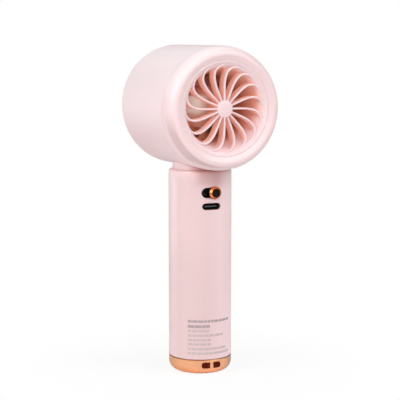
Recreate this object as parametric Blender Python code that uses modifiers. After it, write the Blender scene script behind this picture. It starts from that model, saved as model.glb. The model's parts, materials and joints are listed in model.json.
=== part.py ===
"""A handheld turbo fan, as an assembly of its separate pieces.

The fan stands upright on its base cap: +Z is up, the outlet faces -Y, and the origin is the centre of the
base's underside. Lengths are in metres. Pieces of the head are modelled in the head's own frame, in which
+Z is the way the air leaves, +Y is up and the origin is the middle of the head.
"""

import math

import bmesh
import bpy
from mathutils import Matrix, Vector

MM = 0.001

# --- Driving dimensions -------------------------------------------------------------------------------
HANDLE_RADIUS = 16.0 * MM
HANDLE_WALL = 1.6 * MM
HANDLE_TOP = 103.9 * MM
BASE_SEAM = 8.0 * MM
BASE_ROUNDING = 5.0 * MM

HEAD_RADIUS = 30.7 * MM
HEAD_HEIGHT = 135.3 * MM
HEAD_FRONT = 30.3 * MM
HEAD_SEAM = 20.0 * MM
HEAD_REAR = -33.2 * MM
HEAD_WALL = 1.8 * MM
NECK_RADIUS = 14.0 * MM

OUTLET_RADIUS = 23.6 * MM
LAND_RADIUS = 20.9 * MM
DUCT_RADIUS = 16.9 * MM
DUCT_WALL = 1.4 * MM
DUCT_FRONT = 6.0 * MM
FUNNEL_REAR = 13.9 * MM
VANE_COUNT = 16
VANE_FRONT = 28.2 * MM
VANE_DEPTH = 5.5 * MM
VANE_THICKNESS = 1.0 * MM
OUTLET_HUB_RADIUS = 4.2 * MM

INTAKE_RIB_COUNT = 18

BLADE_COUNT = 9
ROTOR_HUB_RADIUS = 10.8 * MM
ROTOR_TIP_RADIUS = 16.4 * MM
ROTOR_FRONT = 6.8 * MM
ROTOR_REAR = -6.8 * MM
SHAFT_RADIUS = 1.0 * MM

FRONT_OFFSET = -0.9 * MM
SWITCH_HEIGHT = 92.9 * MM
SWITCH_SLOT_WIDTH = 10.4 * MM
SWITCH_SLOT_HEIGHT = 5.2 * MM
KNOB_OFFSET = 1.5 * MM
KNOB_TRAVEL = 3.0 * MM
KNOB_RADIUS = 3.2 * MM
KNOB_FACE_RADIUS = 2.5 * MM
STEM_RADIUS = 1.9 * MM
STEM_FRONT = 16.9 * MM
LEVER_HALF = 0.65 * MM

USB_HEIGHT = 86.0 * MM
USB_OPENING_WIDTH = 9.8 * MM
USB_OPENING_HEIGHT = 3.4 * MM

CELL_RADIUS = 9.2 * MM
CELL_BOTTOM = 16.2 * MM
CELL_LENGTH = 65.0 * MM

GAP = 0.2 * MM
RUNNING_GAP = 0.06 * MM

LARGE_STEPS = 40
MEDIUM_STEPS = 28
SMALL_STEPS = 12

# Colours as (red, green, blue, roughness, metallic).
FINISHES = {
    "pink_plastic": (0.87, 0.66, 0.67, 0.38, 0.0),
    "rose_gold": (0.90, 0.46, 0.27, 0.30, 0.85),
    "black_plastic": (0.02, 0.02, 0.02, 0.45, 0.0),
    "milky_plastic": (0.72, 0.70, 0.68, 0.35, 0.0),
    "white_plastic": (0.80, 0.80, 0.78, 0.50, 0.0),
    "steel": (0.62, 0.62, 0.63, 0.30, 1.0),
    "dark_steel": (0.20, 0.20, 0.21, 0.45, 1.0),
    "magnet": (0.09, 0.09, 0.10, 0.50, 0.6),
    "copper": (0.72, 0.33, 0.16, 0.35, 1.0),
    "board_green": (0.03, 0.22, 0.10, 0.45, 0.0),
    "cell_wrap": (0.05, 0.16, 0.42, 0.40, 0.0),
    "foam": (0.10, 0.10, 0.11, 0.95, 0.0),
    "red_wire": (0.60, 0.03, 0.03, 0.50, 0.0),
}


# --- Scene and object helpers -------------------------------------------------------------------------
def clear_scene():
    for obj in list(bpy.data.objects):
        bpy.data.objects.remove(obj, do_unlink=True)


def new_collection(name):
    collection = bpy.data.collections.new(name)
    bpy.context.scene.collection.children.link(collection)
    return collection


def make_materials():
    made = {}
    for name, (red, green, blue, roughness, metallic) in FINISHES.items():
        material = bpy.data.materials.new(name)
        material.use_nodes = True
        shader = material.node_tree.nodes["Principled BSDF"]
        shader.inputs["Base Color"].default_value = (red, green, blue, 1.0)
        shader.inputs["Roughness"].default_value = roughness
        shader.inputs["Metallic"].default_value = metallic
        material.diffuse_color = (red, green, blue, 1.0)
        made[name] = material
    return made


clear_scene()
PARTS = new_collection("handheld_fan")
CUTTERS = new_collection("cutters")
MATERIALS = make_materials()


def add_empty(name, location, rotation=(0.0, 0.0, 0.0)):
    empty = bpy.data.objects.new(name, None)
    empty.location = location
    empty.rotation_euler = rotation
    empty.empty_display_size = 10 * MM
    PARTS.objects.link(empty)
    return empty


def add_part(name, data, finish, parent=None):
    """Links an object for one physical piece. Its parent, an empty, gives the frame it is modelled in."""
    obj = bpy.data.objects.new(name, data)
    PARTS.objects.link(obj)
    obj.data.materials.append(MATERIALS[finish])
    obj.parent = parent
    return obj


def as_helper(obj):
    """Moves an object that only cuts or joins others out of the parts."""
    PARTS.objects.unlink(obj)
    CUTTERS.objects.link(obj)
    obj.hide_render = True
    obj.display_type = "WIRE"
    return obj


def boolean(target, other, operation):
    modifier = target.modifiers.new(f"{operation.lower()}_{other.name}", "BOOLEAN")
    modifier.operation = operation
    modifier.solver = "EXACT"
    modifier.object = as_helper(other)


def cut(target, other):
    boolean(target, other, "DIFFERENCE")


def join(target, other):
    boolean(target, other, "UNION")


# --- Shape helpers ------------------------------------------------------------------------------------
def arc(centre, radii, start_deg, end_deg, steps):
    """Points of an elliptical arc as (radius, height) pairs, both ends included."""
    points = []
    for i in range(steps + 1):
        angle = math.radians(start_deg + (end_deg - start_deg) * i / steps)
        points.append((centre[0] + radii[0] * math.cos(angle), centre[1] + radii[1] * math.sin(angle)))
    return points


def signed_area(points):
    pairs = zip(points, points[1:] + points[:1])
    return sum(a[0] * b[1] - b[0] * a[1] for a, b in pairs) / 2


def turned(name, profile, finish, parent=None, steps=LARGE_STEPS):
    """A solid of revolution about local Z from (radius, height) pairs.

    The profile is a closed outline, or one whose two ends lie on the axis."""
    points = list(profile)
    if signed_area(points) > 0:
        points.reverse()
    on_axis = points[0][0] == 0.0 and points[-1][0] == 0.0
    count = len(points)
    edges = [(i, i + 1) for i in range(count - 1)]
    if not on_axis:
        edges.append((count - 1, 0))
    mesh = bpy.data.meshes.new(name)
    mesh.from_pydata([(radius, 0.0, height) for radius, height in points], edges, [])
    obj = add_part(name, mesh, finish, parent)
    screw = obj.modifiers.new("turn", "SCREW")
    screw.axis = "Z"
    screw.steps = steps
    screw.render_steps = steps
    screw.use_merge_vertices = True
    screw.merge_threshold = 0.00001
    return obj


def disc(name, radius, low, high, finish, parent=None, steps=MEDIUM_STEPS):
    profile = [(0.0, high), (radius, high), (radius, low), (0.0, low)]
    return turned(name, profile, finish, parent, steps)


def ring(name, inner, outer, low, high, finish, parent=None, steps=MEDIUM_STEPS):
    profile = [(outer, high), (outer, low), (inner, low), (inner, high)]
    return turned(name, profile, finish, parent, steps)


def box(name, low, high, finish, parent=None):
    """A box between two opposite corners."""
    low, high = Vector(low), Vector(high)
    shape = bmesh.new()
    bmesh.ops.create_cube(shape, size=1.0)
    size = high - low
    bmesh.ops.transform(shape, matrix=Matrix.Diagonal(size).to_4x4(), verts=shape.verts)
    bmesh.ops.translate(shape, vec=(low + high) / 2, verts=shape.verts)
    mesh = bpy.data.meshes.new(name)
    shape.to_mesh(mesh)
    shape.free()
    return add_part(name, mesh, finish, parent)


def curve_to_part(name, curve, finish, parent=None):
    """A mesh part from a curve, its caps welded to its sides."""
    guide = bpy.data.objects.new(name + "_guide", curve)
    PARTS.objects.link(guide)
    graph = bpy.context.evaluated_depsgraph_get()
    mesh = bpy.data.meshes.new_from_object(guide.evaluated_get(graph))
    bpy.data.objects.remove(guide)
    shape = bmesh.new()
    shape.from_mesh(mesh)
    bmesh.ops.remove_doubles(shape, verts=shape.verts, dist=0.001 * MM)
    bmesh.ops.recalc_face_normals(shape, faces=shape.faces)
    shape.to_mesh(mesh)
    shape.free()
    mesh.name = name
    return add_part(name, mesh, finish, parent)


def outline(name, loops, low, high, finish, parent=None):
    """A flat shape from closed loops of (x, y) points, as thick as low to high along local Z."""
    curve = bpy.data.curves.new(name, "CURVE")
    curve.dimensions = "2D"
    curve.fill_mode = "BOTH"
    curve.extrude = (high - low) / 2
    for points in loops:
        spline = curve.splines.new("POLY")
        spline.points.add(len(points) - 1)
        spline.use_cyclic_u = True
        for point, (x, y) in zip(spline.points, points):
            point.co = (x, y, 0.0, 1.0)
    obj = curve_to_part(name, curve, finish, parent)
    obj.location.z = (low + high) / 2
    return obj


def wire(name, points, radius, finish):
    """A round wire through the given points."""
    curve = bpy.data.curves.new(name, "CURVE")
    curve.dimensions = "3D"
    curve.bevel_depth = radius
    curve.bevel_resolution = 2
    curve.use_fill_caps = True
    spline = curve.splines.new("POLY")
    smooth = rounded_path(points)
    spline.points.add(len(smooth) - 1)
    for point, place in zip(spline.points, smooth):
        point.co = (*place, 1.0)
    return curve_to_part(name, curve, finish)


def rounded_path(points, share=0.3, steps=3):
    """The path with each corner replaced by a short curve."""
    points = [Vector(p) for p in points]
    path = [points[0]]
    for before, corner, after in zip(points, points[1:], points[2:]):
        start = corner.lerp(before, share)
        end = corner.lerp(after, share)
        for i in range(steps + 1):
            t = i / steps
            path.append(start.lerp(corner, t).lerp(corner.lerp(end, t), t))
    path.append(points[-1])
    return path


def circle_points(radius, count, centre=(0.0, 0.0)):
    turns = [math.tau * i / count for i in range(count)]
    return [(centre[0] + radius * math.cos(t), centre[1] + radius * math.sin(t)) for t in turns]


def stadium_points(width, height, steps=4):
    """A slot outline with round ends, wider than it is high."""
    radius = height / 2
    reach = width / 2 - radius
    right = arc((reach, 0.0), (radius, radius), -90, 90, steps)
    left = arc((-reach, 0.0), (radius, radius), 90, 270, steps)
    return right + left


def polar(radius, angle_deg):
    angle = math.radians(angle_deg)
    return (radius * math.cos(angle), radius * math.sin(angle))


def sheets(name, count, radii, heights, angle_at, thickness, finish, radial_steps, height_steps):
    """Copies of one curved sheet spaced evenly about the head's axis, each thickened on both sides.

    angle_at(s, t) is the sheet's turn in degrees at share s of its radius and share t of its height."""
    shape = bmesh.new()
    for copy in range(count):
        base = 90.0 + 360.0 * copy / count
        rows = []
        for i in range(radial_steps + 1):
            s = i / radial_steps
            radius = radii[0] + (radii[1] - radii[0]) * s
            row = []
            for j in range(height_steps + 1):
                t = j / height_steps
                x, y = polar(radius, base + angle_at(s, t))
                row.append(shape.verts.new((x, y, heights[0] + (heights[1] - heights[0]) * t)))
            rows.append(row)
        for low, high in zip(rows, rows[1:]):
            for j in range(height_steps):
                shape.faces.new((low[j], high[j], high[j + 1], low[j + 1]))
    mesh = bpy.data.meshes.new(name)
    shape.to_mesh(mesh)
    shape.free()
    obj = add_part(name, mesh, finish, HEAD)
    solidify = obj.modifiers.new("thickness", "SOLIDIFY")
    solidify.thickness = thickness
    solidify.offset = 0.0
    return obj


def screw(name, place, parent, head_radius, shank_radius, length, rotation=(0.0, 0.0, 0.0)):
    """A pan-head screw. Its head's underside is at place, and the head points along local +Z."""
    head = head_radius * 0.7
    profile = [(0.0, head), (head_radius * 0.75, head), (head_radius, head * 0.6), (head_radius, 0.0)]
    profile += [(shank_radius, 0.0), (shank_radius, -length + shank_radius), (0.0, -length)]
    obj = turned(name, profile, "steel", parent, SMALL_STEPS)
    obj.location = place
    obj.rotation_euler = rotation


def hole(target, place, radius, low, high, parent, steps=SMALL_STEPS):
    """Drills a round hole along local Z."""
    name = f"{target.name}_hole_{len(target.modifiers)}"
    drill = disc(name, radius, low, high, "steel", parent, steps)
    drill.location = (place[0], place[1], 0.0)
    cut(target, drill)


# --- Frames -------------------------------------------------------------------------------------------
# A quarter turn about X makes local +Z point forwards (world -Y) and local +Y point up. A half turn in the
# head's frame points a screw's head at the rear.
FORWARDS = (math.pi / 2, 0.0, 0.0)
BACKWARDS = (math.pi, 0.0, 0.0)
HEAD = add_empty("head_frame", (0.0, 0.0, HEAD_HEIGHT), FORWARDS)
ROTOR = add_empty("rotor_axis", (0.0, 0.0, HEAD_HEIGHT), FORWARDS)
KNOB = add_empty("knob_axis", (FRONT_OFFSET + KNOB_OFFSET, 0.0, SWITCH_HEIGHT), FORWARDS)
SLOT = add_empty("slot_frame", (FRONT_OFFSET, 0.0, SWITCH_HEIGHT), FORWARDS)
USB = add_empty("usb_frame", (FRONT_OFFSET, 0.0, USB_HEIGHT), FORWARDS)

DUCT_LUG_ANGLES = (90.0, 210.0, 330.0)
DUCT_LUG_RADIUS = 27.4 * MM
DUCT_LUG_HEIGHT = -12.0 * MM
GRILLE_SCREW_ANGLES = (30.0, 150.0, 270.0)
GRILLE_SCREW_RADIUS = 26.4 * MM
NECK_SCREW_OFFSET = 8.5 * MM
CABLE_HOLE_DEPTH = 16.5 * MM
MOTOR_SCREW_OFFSET = 6.0 * MM
BOARD_FRONT = 6.0 * MM
BOARD_BACK = 4.4 * MM
BOARD_LOW = 83.5 * MM
BOARD_HIGH = 97.9 * MM
BOARD_SCREW_PLACE = (9.0 * MM, 96.0 * MM)


# --- Handle -------------------------------------------------------------------------------------------
def build_handle_tube():
    inner = HANDLE_RADIUS - HANDLE_WALL
    rounding = 1.5 * MM
    lid = 1.8 * MM
    hole_radius = 11.3 * MM
    profile = [(HANDLE_RADIUS, BASE_SEAM)]
    profile += arc((HANDLE_RADIUS - rounding, HANDLE_TOP - rounding), (rounding, rounding), 0, 90, 4)
    profile += [(hole_radius, HANDLE_TOP), (hole_radius, HANDLE_TOP - lid)]
    profile += [(inner, HANDLE_TOP - lid), (inner, BASE_SEAM)]
    tube = turned("handle_tube", profile, "pink_plastic")
    reach = (10 * MM, 20 * MM)
    slot = stadium_points(SWITCH_SLOT_WIDTH, SWITCH_SLOT_HEIGHT)
    cut(tube, outline("switch_slot", [slot], *reach, "steel", SLOT))
    opening = stadium_points(USB_OPENING_WIDTH, USB_OPENING_HEIGHT)
    cut(tube, outline("usb_opening", [opening], *reach, "steel", USB))


def build_base_cap():
    """The plated cap: a plug rim goes up into the tube, and two slots leave a bar for a wrist cord."""
    seam = BASE_SEAM - 0.3 * MM
    floor, floor_radius = 1.8 * MM, 11.2 * MM
    plug_outer = HANDLE_RADIUS - HANDLE_WALL - GAP
    plug_inner, plug_low, plug_top = 12.7 * MM, 3.6 * MM, 13.0 * MM
    corner = HANDLE_RADIUS - BASE_ROUNDING
    profile = [(0.0, floor), (floor_radius, floor), (plug_inner, plug_low), (plug_inner, plug_top)]
    profile += [(plug_outer, plug_top), (plug_outer, seam), (HANDLE_RADIUS, seam)]
    profile += arc((corner, BASE_ROUNDING), (BASE_ROUNDING, BASE_ROUNDING), 0, -90, 5)
    profile += [(0.0, 0.0)]
    cap = turned("base_cap", profile, "rose_gold")
    half_width, half_height, half_bar = 5.1 * MM, 1.5 * MM, 0.85 * MM
    frame = add_empty("cord_slot_frame", (FRONT_OFFSET, 0.0, 4.95 * MM), FORWARDS)
    right = [(half_bar, half_height), (half_bar, -half_height)]
    right += arc((half_width - half_height, 0.0), (half_height, half_height), -90, 90, 5)
    left = [(-x, y) for x, y in reversed(right)]
    for side, points in (("right", right), ("left", left)):
        cut(cap, outline(f"cord_slot_{side}", [points], 9 * MM, 20 * MM, "steel", frame))


def build_inner_frame():
    """A cup with its front cut away: it carries the cell and, on two ribs, the board."""
    outer, inner = 14.1 * MM, 12.9 * MM
    low, floor, top = 13.4 * MM, 15.2 * MM, 98.8 * MM
    profile = [(0.0, low), (outer, low), (outer, top), (inner, top), (inner, floor), (0.0, floor)]
    frame = turned("inner_frame", profile, "white_plastic")
    stop_low, stop_high = 82.0 * MM, 83.2 * MM
    beyond = 20 * MM
    cell_window_high = (beyond, 2.0 * MM, stop_low - 1 * MM)
    cut(frame, box("cell_window", (-beyond, -beyond, floor + 0.8 * MM), cell_window_high, "steel"))
    join(frame, disc("cell_stop", 13.5 * MM, stop_low, stop_high, "white_plastic"))
    board_window_high = (beyond, -3.0 * MM, top + 10 * MM)
    cut(frame, box("board_window", (-beyond, -beyond, stop_low - 5 * MM), board_window_high, "steel"))
    rib_half = 1.2 * MM
    for side in (-1, 1):
        middle = side * BOARD_SCREW_PLACE[0]
        corner_low = (middle - rib_half, -BOARD_BACK + 0.3 * MM, stop_high - 0.5 * MM)
        corner_high = (middle + rib_half, 9.0 * MM, top - 1.0 * MM)
        join(frame, box(f"board_rib_{side}", corner_low, corner_high, "white_plastic"))
        add_board_hole(frame, side, -1.0 * MM)


def add_board_hole(target, side, depth):
    """A hole along Y where a board screw goes, from the board's front back to the given depth."""
    name = f"{target.name}_board_hole_{side}"
    drill = disc(name, 0.85 * MM, depth, 10 * MM, "steel", None, SMALL_STEPS)
    drill.location = (side * BOARD_SCREW_PLACE[0], 0.0, BOARD_SCREW_PLACE[1])
    drill.rotation_euler = FORWARDS
    cut(target, drill)


def build_board():
    half_width = 12.0 * MM
    low = (-half_width, -BOARD_FRONT, BOARD_LOW)
    high = (half_width, -BOARD_BACK, BOARD_HIGH)
    board = box("main_board", low, high, "board_green")
    for number, side in enumerate((-1, 1), 1):
        add_board_hole(board, side, 0.0)
        place = (side * BOARD_SCREW_PLACE[0], -BOARD_FRONT - GAP, BOARD_SCREW_PLACE[1])
        screw(f"board_screw_{number}", place, None, 1.4 * MM, 0.7 * MM, 4.5 * MM, FORWARDS)
    chip_low = (-2.5 * MM, -BOARD_BACK + GAP, 88.0 * MM)
    box("driver_chip", chip_low, (2.5 * MM, -3.0 * MM, 93.0 * MM), "black_plastic")
    can_radius, can_back = 2.0 * MM, -1.0 * MM
    can = disc("filter_capacitor", can_radius, can_back, BOARD_BACK - GAP, "dark_steel", None, SMALL_STEPS)
    can.location = (5.3 * MM, 0.0, 89.0 * MM)
    can.rotation_euler = FORWARDS


def build_cell():
    top = CELL_BOTTOM + CELL_LENGTH
    button, shoulder, edge = 2.8 * MM, 0.8 * MM, 0.5 * MM
    profile = [(0.0, top), (button, top), (button, top - shoulder), (CELL_RADIUS - edge, top - shoulder)]
    profile += [(CELL_RADIUS, top - shoulder - edge), (CELL_RADIUS, CELL_BOTTOM + edge)]
    profile += [(CELL_RADIUS - edge, CELL_BOTTOM), (0.0, CELL_BOTTOM)]
    turned("battery_cell", profile, "cell_wrap", None, MEDIUM_STEPS)
    half, strip = 2.5 * MM, 0.3 * MM
    low = top + 0.1 * MM
    box("battery_tab_top", (-half, -4.0 * MM, low), (half, half, low + strip), "steel")
    low = CELL_BOTTOM - GAP - strip
    box("battery_tab_bottom", (-half, -11.0 * MM, low), (half, half, low + strip), "steel")
    box("battery_foam", (-4.0 * MM, -12.6 * MM, 28.0 * MM), (4.0 * MM, -9.5 * MM, 72.0 * MM), "foam")


def build_switch():
    """The slide switch: the plated knob and its stem move a lever in a can on the board."""
    guide_back, guide_front = 11.5 * MM, 12.5 * MM
    half_width, half_height = 5.6 * MM, 4.2 * MM
    plate = [(-half_width, -half_height), (half_width, -half_height)]
    plate += [(half_width, half_height), (-half_width, half_height)]
    slit = stadium_points(2 * STEM_RADIUS + KNOB_TRAVEL + 0.6 * MM, 2 * STEM_RADIUS + 0.3 * MM)
    outline("switch_guide", [plate, slit], guide_back, guide_front, "black_plastic", SLOT)
    body_low = (-4.5 * MM, -1.9 * MM, BOARD_FRONT + GAP)
    body = box("switch_body", body_low, (4.5 * MM, 1.9 * MM, 9.6 * MM), "steel", SLOT)
    channel = (KNOB_OFFSET + LEVER_HALF + 0.3 * MM, LEVER_HALF + 0.3 * MM)
    well_low, well_high = (-channel[0], -channel[1], 8.2 * MM), (*channel, 12 * MM)
    cut(body, box("lever_channel", well_low, well_high, "steel", SLOT))
    lever_low, lever_high = (-LEVER_HALF, -LEVER_HALF, 8.5 * MM), (LEVER_HALF, LEVER_HALF, 12.4 * MM)
    box("switch_lever", lever_low, lever_high, "black_plastic", KNOB)
    stem = disc("knob_stem", STEM_RADIUS, 10.2 * MM, STEM_FRONT, "black_plastic", KNOB, 20)
    half = LEVER_HALF + GAP
    cut(stem, box("stem_socket", (-half, -half, 9 * MM), (half, half, 12.7 * MM), "steel", KNOB))
    build_knob()


def build_knob():
    """A low cone whose round face holds an inlay. A bore in its back takes the stem."""
    back, front, edge = 16.2 * MM, 17.7 * MM, 0.3 * MM
    inlay_radius, inlay_depth = 2.3 * MM, 0.35 * MM
    bore = STEM_RADIUS + 0.1 * MM
    bore_end = STEM_FRONT + 0.1 * MM
    profile = [(0.0, front - inlay_depth), (inlay_radius, front - inlay_depth), (inlay_radius, front)]
    profile += [(KNOB_FACE_RADIUS, front), (KNOB_RADIUS, back + edge), (KNOB_RADIUS, back)]
    profile += [(bore, back), (bore, bore_end), (0.0, bore_end)]
    turned("knob_cap", profile, "rose_gold", KNOB, MEDIUM_STEPS)
    inlay_back = front - inlay_depth + 0.06 * MM
    disc("knob_inlay", inlay_radius - 0.08 * MM, inlay_back, front, "black_plastic", KNOB)


def build_usb_socket():
    mouth, back = 14.9 * MM, BOARD_FRONT + GAP
    width, height, wall = 9.0 * MM, 3.2 * MM, 0.35 * MM
    shell = outline("usb_shell", [stadium_points(width, height)], back, mouth, "dark_steel", USB)
    inside = stadium_points(width - 2 * wall, height - 2 * wall)
    cut(shell, outline("usb_mouth", [inside], back + 1.0 * MM, mouth + 2 * MM, "steel", USB))
    half_width, half_height = 3.3 * MM, 0.35 * MM
    tongue_low = (-half_width, -half_height, back + 1.2 * MM)
    tongue_high = (half_width, half_height, mouth - 0.8 * MM)
    box("usb_tongue", tongue_low, tongue_high, "black_plastic", USB)


# --- Neck ---------------------------------------------------------------------------------------------
def build_neck():
    """The collar sits on the handle, is cut to the round of the head, and is held from below by a nut."""
    shoulder = HANDLE_TOP + 0.1 * MM
    spigot, bore = 11.1 * MM, 6.0 * MM
    low, high = 98.3 * MM, 111.0 * MM
    profile = [(NECK_RADIUS, high), (NECK_RADIUS, shoulder), (spigot, shoulder), (spigot, low)]
    profile += [(bore, low), (bore, high)]
    collar = turned("neck_collar", profile, "pink_plastic")
    cut(collar, disc("head_round", HEAD_RADIUS + 0.15 * MM, -40 * MM, 40 * MM, "steel", HEAD, 96))
    for number, offset in enumerate((-NECK_SCREW_OFFSET, NECK_SCREW_OFFSET), 1):
        hole(collar, (0.0, offset), 1.05 * MM, 90 * MM, 120 * MM, None)
        place = (0.0, offset, HEAD_HEIGHT - HEAD_RADIUS + HEAD_WALL + GAP)
        screw(f"neck_screw_{number}", place, None, 1.9 * MM, 0.9 * MM, 8.0 * MM)
    nut_low, nut_high = 99.4 * MM, HANDLE_TOP - 2.0 * MM
    ring("neck_nut", spigot + 0.1 * MM, 13.4 * MM, nut_low, nut_high, "white_plastic")


# --- Head shells --------------------------------------------------------------------------------------
def build_head_casing():
    inner = HEAD_RADIUS - HEAD_WALL
    rounding = 5.5 * MM
    mouth = 24.4 * MM
    rebate, rebate_low = inner + 0.9 * MM, HEAD_SEAM - 2.0 * MM
    centre = (HEAD_RADIUS - rounding, HEAD_REAR + rounding)
    inside_rounding = rounding - HEAD_WALL
    profile = [(HEAD_RADIUS, HEAD_SEAM)]
    profile += arc(centre, (rounding, rounding), 0, -90, 5)
    profile += [(mouth, HEAD_REAR), (mouth, HEAD_REAR + HEAD_WALL)]
    profile += arc(centre, (inside_rounding, inside_rounding), -90, 0, 2)
    profile += [(inner, rebate_low), (rebate, rebate_low), (rebate, HEAD_SEAM)]
    casing = turned("head_casing", profile, "pink_plastic", HEAD)
    post_low, post_high = (25.9 * MM, -1.8 * MM, -30.0 * MM), (29.6 * MM, 1.8 * MM, DUCT_LUG_HEIGHT)
    for number, angle in enumerate(DUCT_LUG_ANGLES, 1):
        post = box(f"casing_post_{number}", post_low, post_high, "pink_plastic", HEAD)
        post.rotation_euler = (0.0, 0.0, math.radians(angle))
        join(casing, post)
        hole(casing, polar(DUCT_LUG_RADIUS, angle), 0.85 * MM, -24.0 * MM, -10.0 * MM, HEAD)
    below, above = 100 * MM, 112 * MM
    hole(casing, (0.0, 0.0), 5.6 * MM, below, above, None, MEDIUM_STEPS)
    for offset in (-NECK_SCREW_OFFSET, NECK_SCREW_OFFSET):
        hole(casing, (0.0, offset), 1.1 * MM, below, above, None)


def build_front_ring():
    """The rounded ring round the outlet: an outer roll, a crest, and a shallow slope in to the grille."""
    seam = HEAD_SEAM + 0.15 * MM
    inner = HEAD_RADIUS - HEAD_WALL
    roll_centre = (26.4 * MM, 21.6 * MM)
    roll = (HEAD_RADIUS - roll_centre[0], HEAD_FRONT - roll_centre[1])
    inside_roll = (inner - roll_centre[0], roll[1] - HEAD_WALL)
    slope_end = 29.2 * MM
    wall_end, wall_outer, wall_top = 24.0 * MM, 24.9 * MM, 28.2 * MM
    tongue, tongue_low = inner + 0.75 * MM, HEAD_SEAM - 1.8 * MM
    profile = [(HEAD_RADIUS, seam)]
    profile += arc(roll_centre, roll, 0, 90, 5)
    profile += [(OUTLET_RADIUS, slope_end), (OUTLET_RADIUS, wall_end), (wall_outer, wall_end)]
    profile += [(wall_outer, wall_top)]
    profile += arc(roll_centre, inside_roll, 90, 0, 2)
    profile += [(inner, tongue_low), (tongue, tongue_low), (tongue, seam)]
    front = turned("front_ring", profile, "pink_plastic", HEAD)
    boss_low, boss_high = wall_end + 0.1 * MM, 29.0 * MM
    for number, angle in enumerate(GRILLE_SCREW_ANGLES, 1):
        place = polar(GRILLE_SCREW_RADIUS, angle)
        name = f"ring_boss_{number}"
        boss = disc(name, 1.9 * MM, boss_low, boss_high, "pink_plastic", HEAD, SMALL_STEPS)
        boss.location = (*place, 0.0)
        join(front, boss)
        hole(front, place, 0.95 * MM, 20.0 * MM, 28.0 * MM, HEAD)


def outlet_vane_angle(s, t):
    """The vanes leave the hub radially and bend over towards the rim, the same at every height t."""
    return -24.0 * s**6


def build_outlet_grille():
    """The outlet: a rim with a bead and a sloping land, a funnel in to the duct, curved vanes and a hub."""
    outer = OUTLET_RADIUS - GAP
    flange_low, flange_high, flange_radius = 21.8 * MM, 23.8 * MM, 28.4 * MM
    funnel_front = (20.0 * MM, VANE_FRONT - 2.2 * MM)
    duct_outer = DUCT_RADIUS + DUCT_WALL
    funnel_outer = 20.5 * MM
    profile = [(outer, 28.9 * MM), (outer, flange_high), (flange_radius, flange_high)]
    profile += [(flange_radius, flange_low), (funnel_outer, flange_low), (duct_outer, FUNNEL_REAR)]
    profile += [(duct_outer, DUCT_FRONT), (DUCT_RADIUS, DUCT_FRONT), (DUCT_RADIUS, FUNNEL_REAR)]
    profile += [funnel_front, (LAND_RADIUS, VANE_FRONT - 0.6 * MM), (21.9 * MM, VANE_FRONT + 0.1 * MM)]
    profile += [(22.5 * MM, 29.0 * MM), (23.1 * MM, 29.2 * MM)]
    grille = turned("outlet_grille", profile, "pink_plastic", HEAD)
    heights = (VANE_FRONT - VANE_DEPTH, VANE_FRONT)
    radii = (OUTLET_HUB_RADIUS - 1.2 * MM, 22.1 * MM)
    sheet = (outlet_vane_angle, VANE_THICKNESS, "pink_plastic")
    join(grille, sheets("outlet_vanes", VANE_COUNT, radii, heights, *sheet, 8, 1))
    hub_top, hub_edge, hub_rear = 28.9 * MM, 28.0 * MM, 16.3 * MM
    hub_profile = [(0.0, hub_top), (2.4 * MM, hub_top - 0.1 * MM)]
    hub_profile += [(OUTLET_HUB_RADIUS - 0.5 * MM, hub_top - 0.4 * MM), (OUTLET_HUB_RADIUS, hub_edge)]
    hub_profile += [(OUTLET_HUB_RADIUS, hub_rear), (0.0, hub_rear)]
    join(grille, turned("outlet_hub", hub_profile, "pink_plastic", HEAD, MEDIUM_STEPS))
    for number, angle in enumerate(GRILLE_SCREW_ANGLES, 1):
        x, y = polar(GRILLE_SCREW_RADIUS, angle)
        hole(grille, (x, y), 0.95 * MM, 18.0 * MM, 26.0 * MM, HEAD)
        place = (x, y, flange_low - GAP)
        screw(f"grille_screw_{number}", place, HEAD, 1.7 * MM, 0.8 * MM, 5.6 * MM, BACKWARDS)


def intake_rib_angle(s, t):
    """The ribs bend over towards the rim, the same at every height t."""
    return 27.0 * s**3.0


def build_rear_grille():
    """The intake grille: a rim behind the casing's lip, curved ribs, a middle ring and a centre disc."""
    low, high = -33.0 * MM, -31.0 * MM
    rim_inner, lip_radius, rim_outer, rim_top = 21.8 * MM, 24.2 * MM, 25.3 * MM, -30.2 * MM
    edge = 0.5 * MM
    profile = [(lip_radius, high - 0.25 * MM), (rim_outer, high - 0.25 * MM), (rim_outer, rim_top)]
    profile += [(rim_inner, rim_top), (rim_inner, low + edge), (rim_inner + edge, low), (lip_radius, low)]
    grille = turned("rear_grille", profile, "pink_plastic", HEAD)
    radii, heights = (5.2 * MM, rim_inner + 0.5 * MM), (low + 0.3 * MM, high)
    sheet = (intake_rib_angle, 1.1 * MM, "pink_plastic")
    join(grille, sheets("intake_ribs", INTAKE_RIB_COUNT, radii, heights, *sheet, 3, 1))
    ring_heights = (low + GAP, high + GAP)
    join(grille, ring("intake_ring", 13.2 * MM, 14.4 * MM, *ring_heights, "pink_plastic", HEAD))
    disc_heights = (low + 0.1 * MM, high + 0.3 * MM)
    join(grille, disc("intake_disc", 6.2 * MM, *disc_heights, "pink_plastic", HEAD))


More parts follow.
